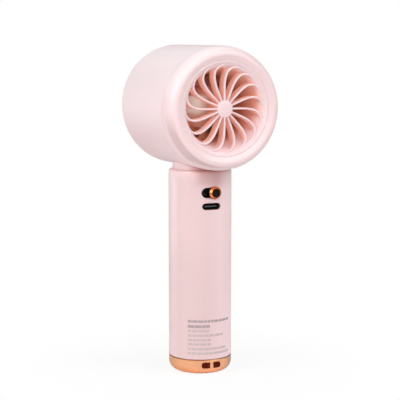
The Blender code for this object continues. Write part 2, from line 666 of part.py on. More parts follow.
# --- Duct, motor and rotor ----------------------------------------------------------------------------
def build_air_duct():
    """The duct round the rotor: a ledge for the motor bracket, a flared intake and three lugs."""
    outer = DUCT_RADIUS + DUCT_WALL
    front, rear, flare_start, ledge = DUCT_FRONT - GAP, -30.0 * MM, -24.0 * MM, -14.2 * MM
    ledge_radius, mouth_inner, mouth_outer = 16.2 * MM, 21.4 * MM, 22.8 * MM
    profile = [(outer, front), (outer, flare_start), (mouth_outer, rear), (mouth_inner, rear)]
    profile += [(ledge_radius + 1.2 * MM, flare_start - 2.5 * MM), (ledge_radius, flare_start)]
    profile += [(ledge_radius, ledge), (DUCT_RADIUS, ledge), (DUCT_RADIUS, front)]
    duct = turned("air_duct", profile, "pink_plastic", HEAD)
    lug_low, lug_high = DUCT_LUG_HEIGHT + GAP, DUCT_LUG_HEIGHT + 2.2 * MM
    lug_half = 2.2 * MM
    lug_corners = (outer - 0.6 * MM, -lug_half, lug_low), (28.5 * MM, lug_half, lug_high)
    for number, angle in enumerate(DUCT_LUG_ANGLES, 1):
        x, y = polar(DUCT_LUG_RADIUS, angle)
        lug = box(f"duct_lug_{number}", *lug_corners, "pink_plastic", HEAD)
        lug.rotation_euler = (0.0, 0.0, math.radians(angle))
        join(duct, lug)
        hole(duct, (x, y), 0.85 * MM, lug_low - 1 * MM, lug_high + 1 * MM, HEAD)
        screw(f"duct_screw_{number}", (x, y, lug_high + GAP), HEAD, 1.3 * MM, 0.7 * MM, 10.0 * MM)
    cable_hole = disc("cable_hole", 1.7 * MM, -26 * MM, -12 * MM, "steel", None, SMALL_STEPS)
    cable_hole.location = (0.0, CABLE_HOLE_DEPTH, HEAD_HEIGHT)
    cut(duct, cable_hole)


def build_motor_bracket():
    """A ring in the duct, four arms and a plate that the motor's base screws to."""
    plate_low, plate_high = -11.6 * MM, -9.6 * MM
    ring_radii, ring_low = (15.5 * MM, DUCT_RADIUS - 0.15 * MM), -14.0 * MM
    plate_radii = (3.0 * MM, 9.2 * MM)
    white = "white_plastic"
    bracket = ring("motor_bracket", *ring_radii, ring_low, plate_high, white, HEAD, LARGE_STEPS)
    join(bracket, ring("bracket_plate", *plate_radii, plate_low, plate_high, white, HEAD))
    arm_half = 1.4 * MM
    arm_corners = (8.0 * MM, -arm_half, plate_low), (16.1 * MM, arm_half, plate_high)
    for number, angle in enumerate((45.0, 135.0, 225.0, 315.0), 1):
        arm = box(f"bracket_arm_{number}", *arm_corners, white, HEAD)
        arm.rotation_euler = (0.0, 0.0, math.radians(angle))
        join(bracket, arm)
    for number, x in enumerate((-MOTOR_SCREW_OFFSET, MOTOR_SCREW_OFFSET), 1):
        hole(bracket, (x, 0.0), 0.95 * MM, plate_low - 1 * MM, plate_high + 1 * MM, HEAD)
        place = (x, 0.0, plate_low - GAP)
        screw(f"motor_screw_{number}", place, HEAD, 1.6 * MM, 0.75 * MM, 3.6 * MM, BACKWARDS)


def build_motor():
    """The still half of the motor: base with bearing tube, laminated core, winding and two bearings."""
    base_radius, base_low, base_high = 9.2 * MM, -9.4 * MM, -7.6 * MM
    tube_outer, tube_inner, tube_top = 3.05 * MM, 2.55 * MM, 4.3 * MM
    shaft_hole = 2.2 * MM
    profile = [(base_radius, base_high), (base_radius, base_low), (shaft_hole, base_low)]
    profile += [(shaft_hole, base_high), (tube_inner, base_high), (tube_inner, tube_top)]
    profile += [(tube_outer, tube_top), (tube_outer, base_high)]
    base = turned("motor_base", profile, "dark_steel", HEAD, MEDIUM_STEPS)
    for x in (-MOTOR_SCREW_OFFSET, MOTOR_SCREW_OFFSET):
        hole(base, (x, 0.0), 0.9 * MM, base_low - 1 * MM, base_high + 0.6 * MM, HEAD)
    radii = (SHAFT_RADIUS + RUNNING_GAP, tube_inner - 0.04 * MM)
    bearing_length = 2.3 * MM
    for name, low in (("bearing_rear", -6.5 * MM), ("bearing_front", 1.8 * MM)):
        ring(name, *radii, low, low + bearing_length, "steel", HEAD, 24)
    build_stator(tube_outer)


def build_stator(tube_outer):
    """Six teeth with curved shoes round the bearing tube, and a coil round each tooth."""
    teeth, low, high = 6, -4.6 * MM, 2.6 * MM
    yoke, shoe_inner, shoe_outer, tooth_half = 4.4 * MM, 6.6 * MM, 7.5 * MM, 1.0 * MM
    root = math.degrees(math.asin(tooth_half / yoke))
    neck = math.degrees(math.asin(tooth_half / shoe_inner))
    half_pitch, inner_tip, outer_tip, outer_mid = 30.0, 23.0, 24.0, 8.0
    tooth_outline = [(yoke, -half_pitch), (yoke, -root), (shoe_inner, -neck), (shoe_inner, -inner_tip)]
    tooth_outline += [(shoe_outer, -outer_tip), (shoe_outer, -outer_mid), (shoe_outer, outer_mid)]
    tooth_outline += [(shoe_outer, outer_tip), (shoe_inner, inner_tip), (shoe_inner, neck), (yoke, root)]
    angles = [360.0 * tooth / teeth for tooth in range(teeth)]
    points = [polar(radius, angle + turn) for angle in angles for radius, turn in tooth_outline]
    bore = circle_points(tube_outer + 0.1 * MM, 24)
    outline("stator_core", [points, bore], low, high, "steel", HEAD)
    clearance = 0.2 * MM
    collector = (4.6 * MM, 5.4 * MM, low - 1.2 * MM, low - 0.5 * MM)
    winding = ring("stator_winding", *collector, "copper", HEAD, 24)
    reach = tooth_half + clearance
    core_corners = (3.0 * MM, -reach, low - clearance), (9.0 * MM, reach, high + clearance)
    coil_corners = (4.75 * MM, -1.7 * MM, low - 1.1 * MM), (6.0 * MM, 1.7 * MM, high + 1.1 * MM)
    for tooth, angle in enumerate(angles):
        coil = box(f"coil_{tooth}", *coil_corners, "copper", HEAD)
        coil.rotation_euler = (0.0, 0.0, math.radians(angle))
        join(winding, coil)
        core = box(f"coil_core_{tooth}", *core_corners, "copper", HEAD)
        core.rotation_euler = (0.0, 0.0, math.radians(angle))
        cut(winding, core)


def rotor_blade_angle(s, t):
    """A blade winds back as it runs forwards, less at the tip, and its tip sweeps back."""
    wrap = 62.0 - 8.0 * s
    sweep = -10.0 * s * s
    return wrap * (0.5 - t) + sweep


def build_rotor():
    """Everything that spins: the impeller with its dome, the can, the magnet, the shaft and its clip."""
    bore = SHAFT_RADIUS + 0.04 * MM
    skin, boss_end = 0.95 * MM, 9.0 * MM
    can_outer, can_front = 9.6 * MM, 5.6 * MM
    hub_inner, hub_end = ROTOR_HUB_RADIUS - skin, can_front + GAP
    profile = [(0.0, 10.6 * MM), (3.6 * MM, 10.4 * MM), (7.2 * MM, 9.5 * MM), (9.6 * MM, 8.1 * MM)]
    profile += [(ROTOR_HUB_RADIUS, ROTOR_FRONT - 1.0 * MM), (ROTOR_HUB_RADIUS, ROTOR_REAR)]
    profile += [(hub_inner, ROTOR_REAR), (hub_inner, hub_end), (bore, hub_end), (bore, boss_end)]
    profile += [(0.0, boss_end)]
    rotor = turned("impeller", profile, "milky_plastic", ROTOR, 42)
    radii = (ROTOR_HUB_RADIUS - 0.5 * MM, ROTOR_TIP_RADIUS)
    heights = (ROTOR_REAR + 0.4 * MM, ROTOR_FRONT - 0.8 * MM)
    sheet = (rotor_blade_angle, 1.1 * MM, "milky_plastic")
    join(rotor, sheets("rotor_blades", BLADE_COUNT, radii, heights, *sheet, 3, 4))
    can_inner, can_rear, can_inside = 9.0 * MM, -6.2 * MM, can_front - 0.7 * MM
    can = [(can_outer, can_front), (can_outer, can_rear), (can_inner, can_rear), (can_inner, can_inside)]
    can += [(bore, can_inside), (bore, can_front)]
    turned("rotor_can", can, "dark_steel", ROTOR, MEDIUM_STEPS)
    magnet = (7.9 * MM, can_inner - 0.05 * MM, -5.6 * MM, 3.6 * MM)
    ring("rotor_magnet", *magnet, "magnet", ROTOR)
    disc("motor_shaft", SHAFT_RADIUS, -8.4 * MM, 8.8 * MM, "steel", ROTOR, 24)
    ring("shaft_clip", bore, 2.0 * MM, -7.3 * MM, -6.8 * MM, "steel", ROTOR, SMALL_STEPS)


# --- Wiring -------------------------------------------------------------------------------------------
def build_wiring():
    """The motor's lead runs behind the motor, out of the duct, and down through the neck to the board."""
    lead = [(0.0, 13.0, 130.5), (0.0, 16.5, 125.5), (0.0, 16.5, 109.9), (0.0, 3.5, 109.5)]
    lead += [(0.0, 1.5, 105.5), (0.0, 0.0, 100.5), (0.0, -2.4, 97.2)]
    wire("motor_cable", [Vector(p) * MM for p in lead], 1.0 * MM, "black_plastic")
    red = [(-1.6, -4.8, 81.5), (-4.4, -6.8, 81.8), (-6.8, -6.8, 83.5), (-6.8, -6.8, 85.2)]
    wire("battery_wire_red", [Vector(p) * MM for p in red], 0.5 * MM, "red_wire")
    black = [(3.4, -10.0, 16.6), (5.6, -10.6, 19.0), (5.6, -10.6, 80.0), (5.6, -6.8, 83.0)]
    black += [(5.6, -6.8, 85.2)]
    wire("battery_wire_black", [Vector(p) * MM for p in black], 0.5 * MM, "black_plastic")


build_handle_tube()
build_base_cap()
build_inner_frame()
build_board()
build_cell()
build_switch()
build_usb_socket()
build_neck()
build_head_casing()
build_front_ring()
build_outlet_grille()
build_rear_grille()
build_air_duct()
build_motor_bracket()
build_motor()
build_rotor()
build_wiring()
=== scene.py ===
"""The looks of the handheld fan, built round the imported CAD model.

Sizes and places come from the CAD nodes' boxes. Pieces of the head are shaped in the head's own
frame, in which +Z is the way the air leaves, +Y is up and the origin is the middle of the rotor,
and are then turned into place.
"""

import json
import math
import random

import bmesh
import bpy
from mathutils import Matrix, Vector


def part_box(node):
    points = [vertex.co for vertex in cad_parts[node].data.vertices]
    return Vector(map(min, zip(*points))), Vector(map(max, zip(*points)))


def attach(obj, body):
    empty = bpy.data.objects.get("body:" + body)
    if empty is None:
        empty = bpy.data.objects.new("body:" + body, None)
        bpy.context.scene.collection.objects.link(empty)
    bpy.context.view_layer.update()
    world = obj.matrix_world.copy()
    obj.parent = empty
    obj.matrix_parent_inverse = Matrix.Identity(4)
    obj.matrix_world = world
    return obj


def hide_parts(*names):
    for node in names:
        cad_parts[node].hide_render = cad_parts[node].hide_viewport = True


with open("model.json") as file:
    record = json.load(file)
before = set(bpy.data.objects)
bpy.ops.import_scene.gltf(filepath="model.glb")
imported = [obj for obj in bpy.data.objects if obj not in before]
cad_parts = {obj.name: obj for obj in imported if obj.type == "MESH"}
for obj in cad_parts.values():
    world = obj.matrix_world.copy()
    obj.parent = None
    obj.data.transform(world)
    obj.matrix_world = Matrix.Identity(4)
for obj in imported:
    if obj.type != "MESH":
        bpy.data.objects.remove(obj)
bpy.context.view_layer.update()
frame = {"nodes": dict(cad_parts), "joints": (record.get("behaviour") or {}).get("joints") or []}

MM = 0.001
MERGE_DISTANCE = 0.0005 * MM


# --- Sizes from the frame -------------------------------------------------------------------------
def low(node):
    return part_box(node)[0]


def high(node):
    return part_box(node)[1]


def width(node):
    return high(node).x - low(node).x


def middle(node):
    return (low(node) + high(node)) / 2


ROTOR_JOINT = next(joint for joint in frame["joints"] if joint["name"] == "rotor_spin")
HEAD_HEIGHT = ROTOR_JOINT["pos_m"][2]
HEAD_RADIUS = width("head_casing") / 2
HEAD_FRONT = -low("front_ring").y
HEAD_SEAM = -low("head_casing").y
HEAD_REAR = -high("head_casing").y
HEAD_WALL = 1.8 * MM
OUTLET_RADIUS = 23.6 * MM
LAND_RADIUS = 20.9 * MM
DUCT_RADIUS = 16.9 * MM
DUCT_WALL = 1.4 * MM
FUNNEL_REAR = 13.9 * MM
VANE_COUNT = 16
RIB_COUNT = 18
BLADE_COUNT = 9
VANE_FRONT = 28.2 * MM
VANE_DEPTH = 5.5 * MM
OUTLET_HUB_RADIUS = 4.2 * MM
WHEEL_HUB_RADIUS = 10.8 * MM

HANDLE_RADIUS = width("handle_tube") / 2
HANDLE_BOTTOM = low("handle_tube").z
HANDLE_TOP = high("handle_tube").z
CAP_TOP = HANDLE_BOTTOM - 0.3 * MM
NECK_RADIUS = width("neck_collar") / 2

SWITCH_HEIGHT = middle("knob_cap").z
FRONT_OFFSET = middle("usb_shell").x
SLOT_WIDTH = 10.4 * MM
SLOT_HEIGHT = 5.2 * MM
USB_HEIGHT = middle("usb_shell").z
USB_WIDTH = 9.8 * MM
USB_OPENING_HEIGHT = 3.4 * MM

LABEL_TOP = 27.8 * MM
LABEL_LEFT_DEG = -48.4

HOUSING = "housing"
ROTOR = "rotor"
SWITCH = "switch"

UPRIGHT = Matrix.Identity(4)
FORWARDS = Matrix.Rotation(math.pi / 2, 4, "X")
HEAD = Matrix.Translation((0.0, 0.0, HEAD_HEIGHT)) @ FORWARDS


# --- Materials ------------------------------------------------------------------------------------
class Graph:
    """A material's node tree, with short ways to add and link nodes."""

    def __init__(self, name):
        self.material = bpy.data.materials.new(name)
        self.material.use_nodes = True
        self.tree = self.material.node_tree
        self.shader = self.tree.nodes["Principled BSDF"]
        coordinates = self.tree.nodes.new("ShaderNodeTexCoord")
        self.place = coordinates.outputs["Object"]

    def add(self, kind, **settings):
        node = self.tree.nodes.new("ShaderNode" + kind)
        for key, value in settings.items():
            setattr(node, key, value)
        return node

    def link(self, source, target):
        self.tree.links.new(source, target)

    def feed(self, node, key, value):
        """Sets an input to a number, a colour or another node's output."""
        socket = node.inputs[key]
        if isinstance(value, bpy.types.NodeSocket):
            self.link(value, socket)
        elif isinstance(value, tuple) and len(value) == 3 and socket.type == "RGBA":
            socket.default_value = (*value, 1.0)
        else:
            socket.default_value = value

    def math(self, operation, first, second=0.0):
        node = self.add("Math", operation=operation)
        self.feed(node, 0, first)
        self.feed(node, 1, second)
        return node.outputs[0]

    def product(self, first, *others):
        for other in others:
            first = self.math("MULTIPLY", first, other)
        return first

    def noise(self, scale, detail=3.0, stretch=(1.0, 1.0, 1.0)):
        """Noise whose features are 1/scale metres across, from 0 to 1."""
        mapping = self.add("Mapping")
        self.link(self.place, mapping.inputs["Vector"])
        mapping.inputs["Scale"].default_value = stretch
        node = self.add("TexNoise")
        self.link(mapping.outputs["Vector"], node.inputs["Vector"])
        node.inputs["Scale"].default_value = scale
        node.inputs["Detail"].default_value = detail
        return node.outputs["Fac"]

    def ramp(self, value, low_in, high_in, low_out=0.0, high_out=1.0):
        """Eases from one output to the other as the value passes between the two inputs."""
        node = self.add("MapRange", interpolation_type="SMOOTHSTEP")
        self.feed(node, "Value", value)
        node.inputs["From Min"].default_value = low_in
        node.inputs["From Max"].default_value = high_in
        node.inputs["To Min"].default_value = low_out
        node.inputs["To Max"].default_value = high_out
        return node.outputs["Result"]

    def mix(self, share, first, second):
        """The first colour where share is 0 and the second where it is 1."""
        node = self.add("Mix", data_type="RGBA")
        self.feed(node, 0, share)
        self.feed(node, 6, first)
        self.feed(node, 7, second)
        return node.outputs[2]

    def axis(self, letter):
        """The place along an axis of the object, which is the world's while the fan is at rest."""
        split = self.add("SeparateXYZ")
        self.link(self.place, split.inputs[0])
        return split.outputs[letter]

    def radius(self, weights, shift=(0.0, 0.0, 0.0)):
        """The length of the place moved by shift, with each axis scaled by its weight."""
        mapping = self.add("Mapping")
        self.link(self.place, mapping.inputs["Vector"])
        mapping.inputs["Location"].default_value = shift
        mapping.inputs["Scale"].default_value = weights
        length = self.add("VectorMath", operation="LENGTH")
        self.link(mapping.outputs["Vector"], length.inputs[0])
        return length.outputs["Value"]

    def off_axis(self):
        """The distance from the rotor's axis."""
        return self.radius((1.0, 0.0, 1.0), (0.0, 0.0, -HEAD_HEIGHT))

    def in_world(self, what, letter):
        """The part along a world axis of the surface's Normal, from -1 to 1, or of its Position."""
        geometry = self.add("NewGeometry")
        split = self.add("SeparateXYZ")
        self.link(geometry.outputs[what], split.inputs[0])
        return split.outputs[letter]

    def tinted(self, share, colour):
        """Mixes a colour in to the shader's base colour."""
        plain = self.shader.inputs["Base Color"].links[0].from_socket
        self.feed(self.shader, "Base Color", self.mix(share, plain, colour))

    def glow(self, colour, strength):
        self.feed(self.shader, "Emission Color", colour)
        self.feed(self.shader, "Emission Strength", strength)

    def bump(self, height, distance):
        node = self.add("Bump")
        node.inputs["Strength"].default_value = 1.0
        node.inputs["Distance"].default_value = distance
        self.link(height, node.inputs["Height"])
        self.link(node.outputs["Normal"], self.shader.inputs["Normal"])


def scaled(colour, factor):
    return tuple(min(1.0, channel * factor) for channel in colour)


HEAD_PINK = (0.925, 0.71, 0.72)
# Painted reflection: a dark band round the ring's roll.
RING_PAINTED_REFLECTION = (0.70, 0.50, 0.505)
# Painted highlight on the ring's crest.
RING_PAINTED_HIGHLIGHT = (0.96, 0.80, 0.81)
CASING_PINK = (0.98, 0.80, 0.815)
# Painted light on the faces that look up.
CASING_PAINTED_TOP_LIGHT = (1.0, 0.85, 0.87)
# Painted shade at the casing's very crest and below its middle; painted light on its underside.
CASING_CREST_PAINTED_SHADE = (0.93, 0.74, 0.76)
CASING_PAINTED_SHADE = (0.895, 0.665, 0.68)
CASING_PAINTED_UNDERLIGHT = (0.96, 0.74, 0.75)
# Lit and shaded copies of the handle's pink: painted shade on the left, painted light on the right.
HANDLE_PAINTED_SHADE_LEFT = (0.81, 0.60, 0.605)
HANDLE_PAINTED_LIGHT_RIGHT = (0.92, 0.695, 0.71)
# Painted sheen along the handle's edges.
HANDLE_PAINTED_SHEEN = (0.94, 0.73, 0.74)
# Painted shadow of the head on the handle.
HANDLE_PAINTED_SHADOW = (0.74, 0.50, 0.50)
JOINT_SHADE = (0.58, 0.16, 0.11)
SEAM_SHADE = (0.80, 0.48, 0.46)
# Painted shade and painted glow inside the outlet, the duct and the wheel.
SALMON_PAINTED_SHADE = (1.0, 0.56, 0.47)
DEEP_PAINTED_SHADE = (0.72, 0.35, 0.27)
SALMON_PAINTED_GLOW = (0.50, 0.36, 0.27)
DEEP_PAINTED_GLOW = (0.16, 0.06, 0.03)
LIP_PAINTED_LIGHT = (0.95, 0.78, 0.78)
MILKY = (0.80, 0.69, 0.62)
# Painted light on the wheel's dome.
MILKY_PAINTED_LIGHT = (0.20, 0.20, 0.185)
ROSE_GOLD = (0.93, 0.47, 0.26)
# Painted shade and painted glow on the rose gold.
ROSE_SHADE = (0.55, 0.31, 0.25)
SLOT_PAINTED_GLOW = (0.30, 0.07, 0.05)
INK = (0.60, 0.46, 0.465)
DARK_INK = (0.43, 0.325, 0.33)


def surface(
    name, colour, roughness, metallic=0.0, spread=0.02, grain=1200.0, depth=0.01, stretch=(1, 1, 1)
):
    """A moulded or machined finish: slow colour drift, uneven gloss and a fine surface grain.

    The colour drifts by spread either way, the grain is 1/grain metres across and depth mm deep."""
    graph = Graph(name)
    drift = graph.noise(60.0, 4.0, stretch)
    darker, lighter = scaled(colour, 1 - spread), scaled(colour, 1 + spread)
    graph.feed(graph.shader, "Base Color", graph.mix(drift, darker, lighter))
    gloss = graph.noise(170.0, 3.0, stretch)
    uneven = graph.ramp(gloss, 0.25, 0.75, roughness * 0.88, roughness * 1.12)
    graph.feed(graph.shader, "Roughness", uneven)
    graph.shader.inputs["Metallic"].default_value = metallic
    graph.bump(graph.noise(grain, 5.0, stretch), depth * MM)
    return graph


def make_pink(name, colour):
    """Satin moulded plastic that lets a little light in."""
    graph = surface(name, colour, 0.34, spread=0.012, grain=1500.0, depth=0.006)
    shader = graph.shader
    shader.inputs["Subsurface Weight"].default_value = 0.18
    shader.inputs["Subsurface Radius"].default_value = (1.0, 0.45, 0.35)
    shader.inputs["Subsurface Scale"].default_value = 1.6 * MM
    shader.inputs["Coat Weight"].default_value = 0.08
    shader.inputs["Coat Roughness"].default_value = 0.25
    return graph


def shade_warmly(graph, shaded_colour, reach, most):
    """Painted shade: tints what lies deep in a joint or under an overhang, where pink faces pink.
    """
    occlusion = graph.add("AmbientOcclusion", samples=8)
    occlusion.inputs["Distance"].default_value = reach
    hidden = graph.ramp(occlusion.outputs["AO"], 0.95, 0.35)
    graph.tinted(graph.product(hidden, most), shaded_colour)


def make_handle_pink():
    """Satin pink, with painted light and shade: a painted sheen paler at the handle's edges, a
    painted shadow deeper under the head and painted shade deeper towards the cap.
    """
    graph = make_pink("satin_pink", HANDLE_PAINTED_SHADE_LEFT)
    across = graph.axis("X")
    height = graph.axis("Z")
    # Painted shade: darker towards the cap.
    lowness = graph.ramp(height, 85.0 * MM, 35.0 * MM)
    left = graph.mix(lowness, HANDLE_PAINTED_SHADE_LEFT, scaled(HANDLE_PAINTED_SHADE_LEFT, 0.93))
    # Painted light: the left side paler near the top.
    left = graph.mix(graph.ramp(height, 98.0 * MM, 103.0 * MM), left, scaled(HANDLE_PAINTED_SHADE_LEFT, 1.1))
    right = graph.mix(lowness, HANDLE_PAINTED_LIGHT_RIGHT, scaled(HANDLE_PAINTED_LIGHT_RIGHT, 0.94))
    # Lit and shaded copies of one pink: painted shade on the left, painted light on the right.
    base = graph.mix(graph.ramp(across, -5.0 * MM, 6.0 * MM), left, right)
    # Painted sheen: paler near the edges, strongest higher up.
    from_middle = graph.math("ABSOLUTE", graph.math("ADD", across, 3.5 * MM))
    sheen_share = graph.product(
        graph.ramp(from_middle, 11.1 * MM, 12.5 * MM),
        graph.ramp(height, 35.0 * MM, 95.0 * MM, 0.3, 1.0),
    )
    base = graph.mix(sheen_share, base, HANDLE_PAINTED_SHEEN)
    # Painted shadow of the head on the handle's front.
    under_head = graph.product(
        graph.ramp(across, -10.5 * MM, -5.0 * MM), graph.ramp(across, 8.0 * MM, 1.0 * MM),
        graph.ramp(height, 95.0 * MM, 98.5 * MM), graph.ramp(graph.axis("Y"), 0.0, -6.0 * MM),
    )
    graph.feed(graph.shader, "Base Color", graph.mix(under_head, base, HANDLE_PAINTED_SHADOW))
    # Painted shade in the joint under the neck, weighted across from left to right.
    from_left = graph.ramp(across, -12.0 * MM, -6.0 * MM, 0.05, 0.4)
    to_right = graph.ramp(across, 2.0 * MM, 9.0 * MM, 1.0, 0.6)
    shade_warmly(graph, JOINT_SHADE, 12.0 * MM, graph.product(from_left, to_right))
    return graph


def make_ring_pink():
    """Pink with a painted highlight on the crest to the upper left, a painted dark reflection in a
    band round the roll's lower left, and painted light on the faces that look up.
    """
    graph = make_pink("satin_pink_ring", HEAD_PINK)
    sideways, facing_back, upwards = (graph.in_world("Normal", letter) for letter in "XYZ")
    # Painted reflection: a dark band round the roll's lower left, set by which way the surface
    # faces.
    dark_reflection_share = graph.product(
        graph.ramp(facing_back, -0.08, -0.28), graph.ramp(facing_back, -0.88, -0.62),
        graph.ramp(upwards, 0.0, -0.4), graph.ramp(upwards, -0.92, -0.74),
        graph.ramp(graph.axis("X"), 4.0 * MM, -8.0 * MM),
    )
    # Painted highlight: the crest paler where it faces up and to the left.
    crest = graph.product(
        graph.ramp(sideways, 0.1, -0.35), graph.ramp(upwards, 0.05, 0.45),
        graph.ramp(facing_back, -0.96, -0.86),
    )
    base = graph.mix(crest, graph.mix(dark_reflection_share, HEAD_PINK, RING_PAINTED_REFLECTION), RING_PAINTED_HIGHLIGHT)
    # Painted light: paler on the faces that look up.
    base = graph.mix(graph.ramp(upwards, 0.6, 1.0), base, CASING_PAINTED_TOP_LIGHT)
    graph.feed(graph.shader, "Base Color", base)
    shade_warmly(graph, SEAM_SHADE, 6.0 * MM, 0.5)
    return graph


def make_casing_pink():
    """Pink with painted light that pales it towards the top, but for the very crest, which takes
    painted shade. Painted shade deepens it below the middle, painted light lifts its underside and
    the top glows faintly with painted light.
    """
    graph = make_pink("satin_pink_casing", CASING_PINK)
    upwards = graph.in_world("Normal", "Z")
    # Painted light on faces that look up and painted shade on those that look down, lifted again by
    # painted light where they look straight down.
    top_light_share = graph.ramp(upwards, 0.3, 0.95)
    base = graph.mix(graph.ramp(upwards, 0.05, -0.6), CASING_PINK, CASING_PAINTED_SHADE)
    base = graph.mix(graph.ramp(upwards, -0.7, -1.0), base, CASING_PAINTED_UNDERLIGHT)
    base = graph.mix(top_light_share, base, CASING_PAINTED_TOP_LIGHT)
    base = graph.mix(graph.ramp(upwards, 0.965, 0.998), base, CASING_CREST_PAINTED_SHADE)
    graph.feed(graph.shader, "Base Color", base)
    # Painted light: the top glows faintly.
    graph.glow(CASING_PAINTED_TOP_LIGHT, graph.product(top_light_share, 0.07))
    shade_warmly(graph, SEAM_SHADE, 6.0 * MM, 0.5)
    return graph


def make_outlet_pink():
    """Pink with painted salmon shade on the vanes' sides and down the funnel.

    It glows faintly there with painted light, in place of light that has crossed the plastic."""
    graph = make_pink("outlet_pink", HEAD_PINK)
    # Painted salmon shade: darker deeper in, paler where the funnel's lip faces up.
    depth = graph.product(graph.axis("Y"), -1.0)
    below_edge = graph.ramp(depth, VANE_FRONT - 0.3 * MM, VANE_FRONT - 3.5 * MM)
    facing_up = graph.product(graph.in_world("Normal", "Z"), 2.2 * MM)
    lit_radius = graph.math("ADD", graph.off_axis(), facing_up)
    off_land = graph.ramp(lit_radius, LAND_RADIUS + 0.3 * MM, LAND_RADIUS - 2.2 * MM)
    deeper = graph.ramp(depth, 24.0 * MM, 13.0 * MM)
    inside = graph.product(below_edge, off_land)
    base = graph.mix(inside, HEAD_PINK, graph.mix(deeper, SALMON_PAINTED_SHADE, DEEP_PAINTED_SHADE))
    graph.feed(graph.shader, "Base Color", base)
    # Painted light: a faint emission below the vanes' front edge, paler at the lip.
    light = graph.mix(off_land, LIP_PAINTED_LIGHT, graph.mix(deeper, SALMON_PAINTED_GLOW, DEEP_PAINTED_GLOW))
    graph.glow(light, graph.product(below_edge, 0.18))
    return graph


def make_duct_painted_shade():
    """Painted salmon shade on the duct's plastic, with a faint painted glow to the front and left.
    """
    graph = make_pink("duct_painted_shade", DEEP_PAINTED_SHADE)
    depth = graph.product(graph.axis("Y"), -1.0)
    # Painted glow, towards the front and the left.
    to_left = graph.ramp(graph.axis("X"), 2.0 * MM, -12.0 * MM, 0.12, 0.7)
    graph.glow(DEEP_PAINTED_GLOW, graph.product(graph.ramp(depth, -14.0 * MM, 4.0 * MM), to_left))
    return graph


def make_milky():
    """The wheel's milky plastic, shown in a patch of painted light on the hub's dome, where light
    from the left falls.

    The rest takes the duct's painted shade, with a faint painted glow to the lower left."""
    graph = make_pink("milky_plastic", MILKY)
    across = graph.in_world("Position", "X")
    height = graph.in_world("Position", "Z")
    # Painted light: a lit patch on the dome's left side.
    lit = graph.product(
        graph.ramp(graph.in_world("Normal", "X"), 0.10, -0.30),
        graph.ramp(height, HEAD_HEIGHT + 6.8 * MM, HEAD_HEIGHT + 4.8 * MM),
        graph.ramp(height, HEAD_HEIGHT - 5.0 * MM, HEAD_HEIGHT - 1.5 * MM, 0.3, 1.0),
        graph.ramp(graph.off_axis(), WHEEL_HUB_RADIUS + 0.3 * MM, WHEEL_HUB_RADIUS - 0.1 * MM),
    )
    # Painted shade elsewhere, darker to the right.
    to_right = graph.ramp(across, -3.0 * MM, 8.0 * MM)
    unlit = graph.mix(to_right, DEEP_PAINTED_SHADE, scaled(DEEP_PAINTED_SHADE, 0.65))
    graph.feed(graph.shader, "Base Color", graph.mix(lit, unlit, MILKY))
    # Painted glow on the lit patch and to the lower left.
    diagonal = graph.math("ADD", across, height)
    low_left = graph.ramp(diagonal, HEAD_HEIGHT - 6.0 * MM, HEAD_HEIGHT - 15.0 * MM, 0.05, 0.7)
    graph.glow(graph.mix(lit, DEEP_PAINTED_GLOW, MILKY_PAINTED_LIGHT), graph.math("MAXIMUM", lit, low_left))
    return graph


def make_rose_gold():
    """Brushed rose gold, with painted shade that browns it to the right and a warm painted glow
    inside the cord slots.
    """
    graph = surface("rose_gold", ROSE_GOLD, 0.30, 1.0, 0.03, 2200.0, 0.004)
    # Painted shade: browner to the right.
    graph.tinted(graph.ramp(graph.axis("X"), 6.0 * MM, 13.0 * MM), ROSE_SHADE)
    # Painted glow inside the cord slots.
    radius = graph.radius((1.0, 1.0, 0.0))
    inside = graph.ramp(radius, HANDLE_RADIUS - 0.8 * MM, HANDLE_RADIUS - 1.6 * MM)
    graph.glow(SLOT_PAINTED_GLOW, graph.product(inside, 0.09))
    return graph


def make_ink():
    """Grey ink, darker in the label's first two rows."""
    graph = surface("grey_ink", INK, 0.5, 0.0, 0.12, 3000.0, 0.004)
    first_rows = graph.ramp(graph.axis("Z"), LABEL_TOP - 4.1 * MM, LABEL_TOP - 3.6 * MM)
    graph.tinted(first_rows, DARK_INK)
    return graph


